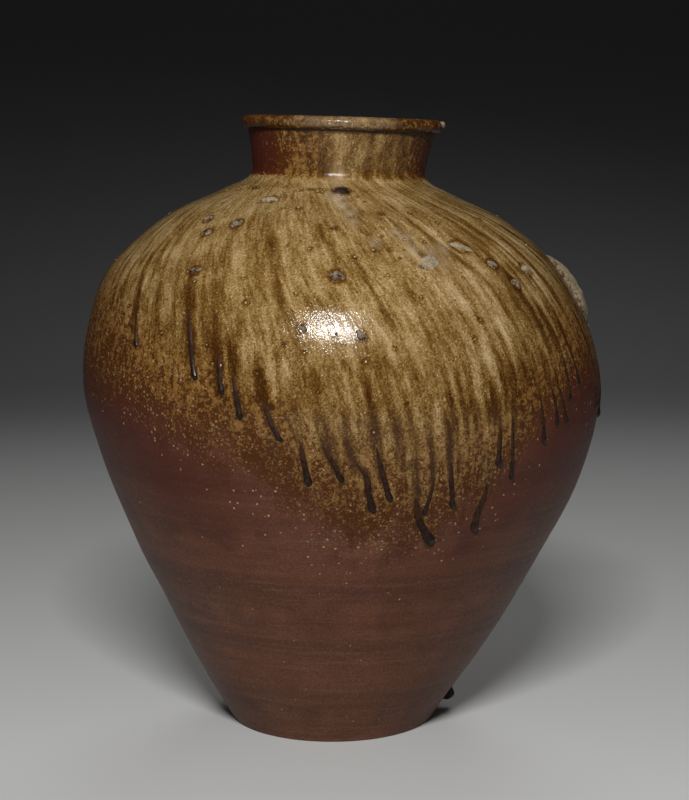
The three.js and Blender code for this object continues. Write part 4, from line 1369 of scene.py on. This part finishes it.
class JAR_OT_pimples(bpy.types.Operator):
    """Build the pimples where bubbles and grains lie under the glaze"""

    bl_idname = "jar.pimples"
    bl_label = "Glaze Pimples"

    def execute(self, context):
        wall, marks = jar_wall(), context.scene.jar_surface
        on_wall = partial(dressed_wall, wall, marks)
        points, faces, rims, bearings, alongs = [], [], [], [], []
        for i, (bearing, level, radius) in enumerate((*PIMPLES, *strewn_pimples())):
            along = wall.at_level(level)
            sizes = (0.8 * radius, 0.8 * radius, 0.42 * radius)
            dome, groups, rim, places = lump(
                on_wall, wall.radius_at(along), (bearing, along), sizes, 400 + i,
                rings=3, sides=10, ragged=0.1, flat=2, rough=0.1,
            )
            faces += [group + sum(map(len, points)) for group in groups]
            points.append(dome)
            rims.append(rim)
            bearings.append(places[0])
            alongs.append(places[1])
        # Painted glint: some pimples get a pale cream top
        tops_with_painted_glints = np.random.default_rng(78).choice([-0.1, 0.2, 0.6], len(points))
        tops_with_painted_glints = np.repeat(tops_with_painted_glints, [len(dome) for dome in points])
        points, rims, bearings, alongs = map(np.concatenate, (points, rims, bearings, alongs))
        # A pale top on some of them is a painted glint; the others are plain or dark at the top, and all
        # are dark where the glaze gathers round the rim
        fields = shared_fields(wall, bearings, alongs)
        fields["ash"] = tops_with_painted_glints + (1.15 - tops_with_painted_glints) * ease(0.25, 0.9, rims)
        fields["cover"] = np.maximum(fields["cover"], 2.0)
        make_piece("glaze_pimples", points, faces, stoneware(), "ash_glaze", fields=fields)
        return {"FINISHED"}


class JAR_OT_stage(bpy.types.Operator):
    """Set the floor, the studio lights and the camera"""

    bl_idname = "jar.stage"
    bl_label = "Floor, Lights and Camera"

    def execute(self, context):
        scene, look = context.scene, context.scene.jar_finishes
        # The paper: a flat floor, a quarter bend and an upright back
        front, back, bend, top, half_width = -3.0, 1.6, 0.9, 4.0, 4.0
        turn = np.linspace(0, np.pi / 2, 16)[1:]
        y = np.concatenate([[front, back], back + bend * np.sin(turn), [back + bend]])
        z = np.concatenate([[0, 0], bend * (1 - np.cos(turn)), [top]])
        x = np.array([-half_width, half_width])
        points = np.stack([x[None, :] + 0 * y[:, None], y[:, None] + 0 * x, z[:, None] + 0 * x], -1)
        mesh = bpy.data.meshes.new("backdrop")
        faces = grid_faces(len(y), 2, close_columns=False)
        mesh.from_pydata(points.reshape(-1, 3).tolist(), [], faces.tolist())
        mesh.polygons.foreach_set("use_smooth", np.ones(len(faces), bool))
        mesh.materials.append(backdrop_paper(look))
        backdrop = bpy.data.objects.new("backdrop", mesh)
        scene.collection.objects.link(backdrop)

        world = bpy.data.worlds.new("studio")
        scene.world = world
        world.use_nodes = True
        world.node_tree.nodes["Background"].inputs["Color"].default_value = linear("#d8dade")
        world.node_tree.nodes["Background"].inputs["Strength"].default_value = 0.06

        # A key above and in front, and a fill behind that the glaze doesn't mirror
        def softbox(name, place, aim, size, watts, mirrored=True):
            lamp = bpy.data.lights.new(name, "AREA")
            lamp.shape = "RECTANGLE"
            lamp.size, lamp.size_y = size
            lamp.energy = watts
            box = bpy.data.objects.new(name, lamp)
            box.location = place
            direction = np.array(aim) - np.array(place)
            box.rotation_euler = (
                np.arctan2(np.hypot(*direction[:2]), -direction[2]),
                0,
                np.arctan2(-direction[0], direction[1]),
            )
            box.visible_glossy = mirrored
            scene.collection.objects.link(box)

        softbox("key_softbox", (-0.06, -1.75, 1.55), (0, 0, 0.3), (0.6, 0.17), 45)
        softbox("back_fill", (0.3, 1.9, 1.4), (0, 0, 0.25), (1.0, 0.8), 14, mirrored=False)

        # Placed by the jar's outline in the photograph
        tilt_down = 7.927
        camera = bpy.data.objects.new("camera", bpy.data.cameras.new("camera"))
        camera.location = (0.0095, -1.4, 0.446)
        camera.rotation_euler = (np.radians(90 - tilt_down), 0, 0)
        camera.data.lens = 81.1
        scene.collection.objects.link(camera)
        scene.camera = camera
        scene.view_settings.view_transform = "Standard"
        return {"FINISHED"}


class JAR_PT_panel(bpy.types.Panel):
    """Lists the jar's pieces and sizes"""

    bl_idname = "JAR_PT_panel"
    bl_label = "Storage Jar"
    bl_space_type = "VIEW_3D"
    bl_region_type = "UI"
    bl_category = "Jar"

    def draw(self, context):
        for operator in PIECES:
            self.layout.operator(operator.bl_idname)
        scene = context.scene
        for group in (scene.jar_wall, scene.jar_surface, scene.jar_finishes):
            box = self.layout.box()
            for name in group.bl_rna.properties.keys():
                if name not in ("rna_type", "name"):
                    box.prop(group, name)


GROUPS = (JarWallSizes, JarSurfaceSizes, JarFinishes)
PIECES = (
    JAR_OT_clay_wall,
    JAR_OT_rolled_lip,
    JAR_OT_glaze_runs,
    JAR_OT_kiln_debris,
    JAR_OT_pimples,
    JAR_OT_stage,
)
CLASSES = (*GROUPS, *PIECES, JAR_PT_panel)


def register():
    for cls in CLASSES:
        bpy.utils.register_class(cls)
    bpy.types.Scene.jar_wall = bpy.props.PointerProperty(type=JarWallSizes)
    bpy.types.Scene.jar_surface = bpy.props.PointerProperty(type=JarSurfaceSizes)
    bpy.types.Scene.jar_finishes = bpy.props.PointerProperty(type=JarFinishes)


def unregister():
    del bpy.types.Scene.jar_finishes
    del bpy.types.Scene.jar_surface
    del bpy.types.Scene.jar_wall
    for cls in reversed(CLASSES):
        bpy.utils.unregister_class(cls)


def main():
    """Registers the classes and builds every piece in order."""
    register()
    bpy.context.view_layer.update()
    bpy.ops.jar.clay_wall()
    bpy.ops.jar.rolled_lip()
    bpy.ops.jar.glaze_runs()
    bpy.ops.jar.kiln_debris()
    bpy.ops.jar.pimples()
    bpy.ops.jar.stage()


if __name__ == "__main__":
    main()
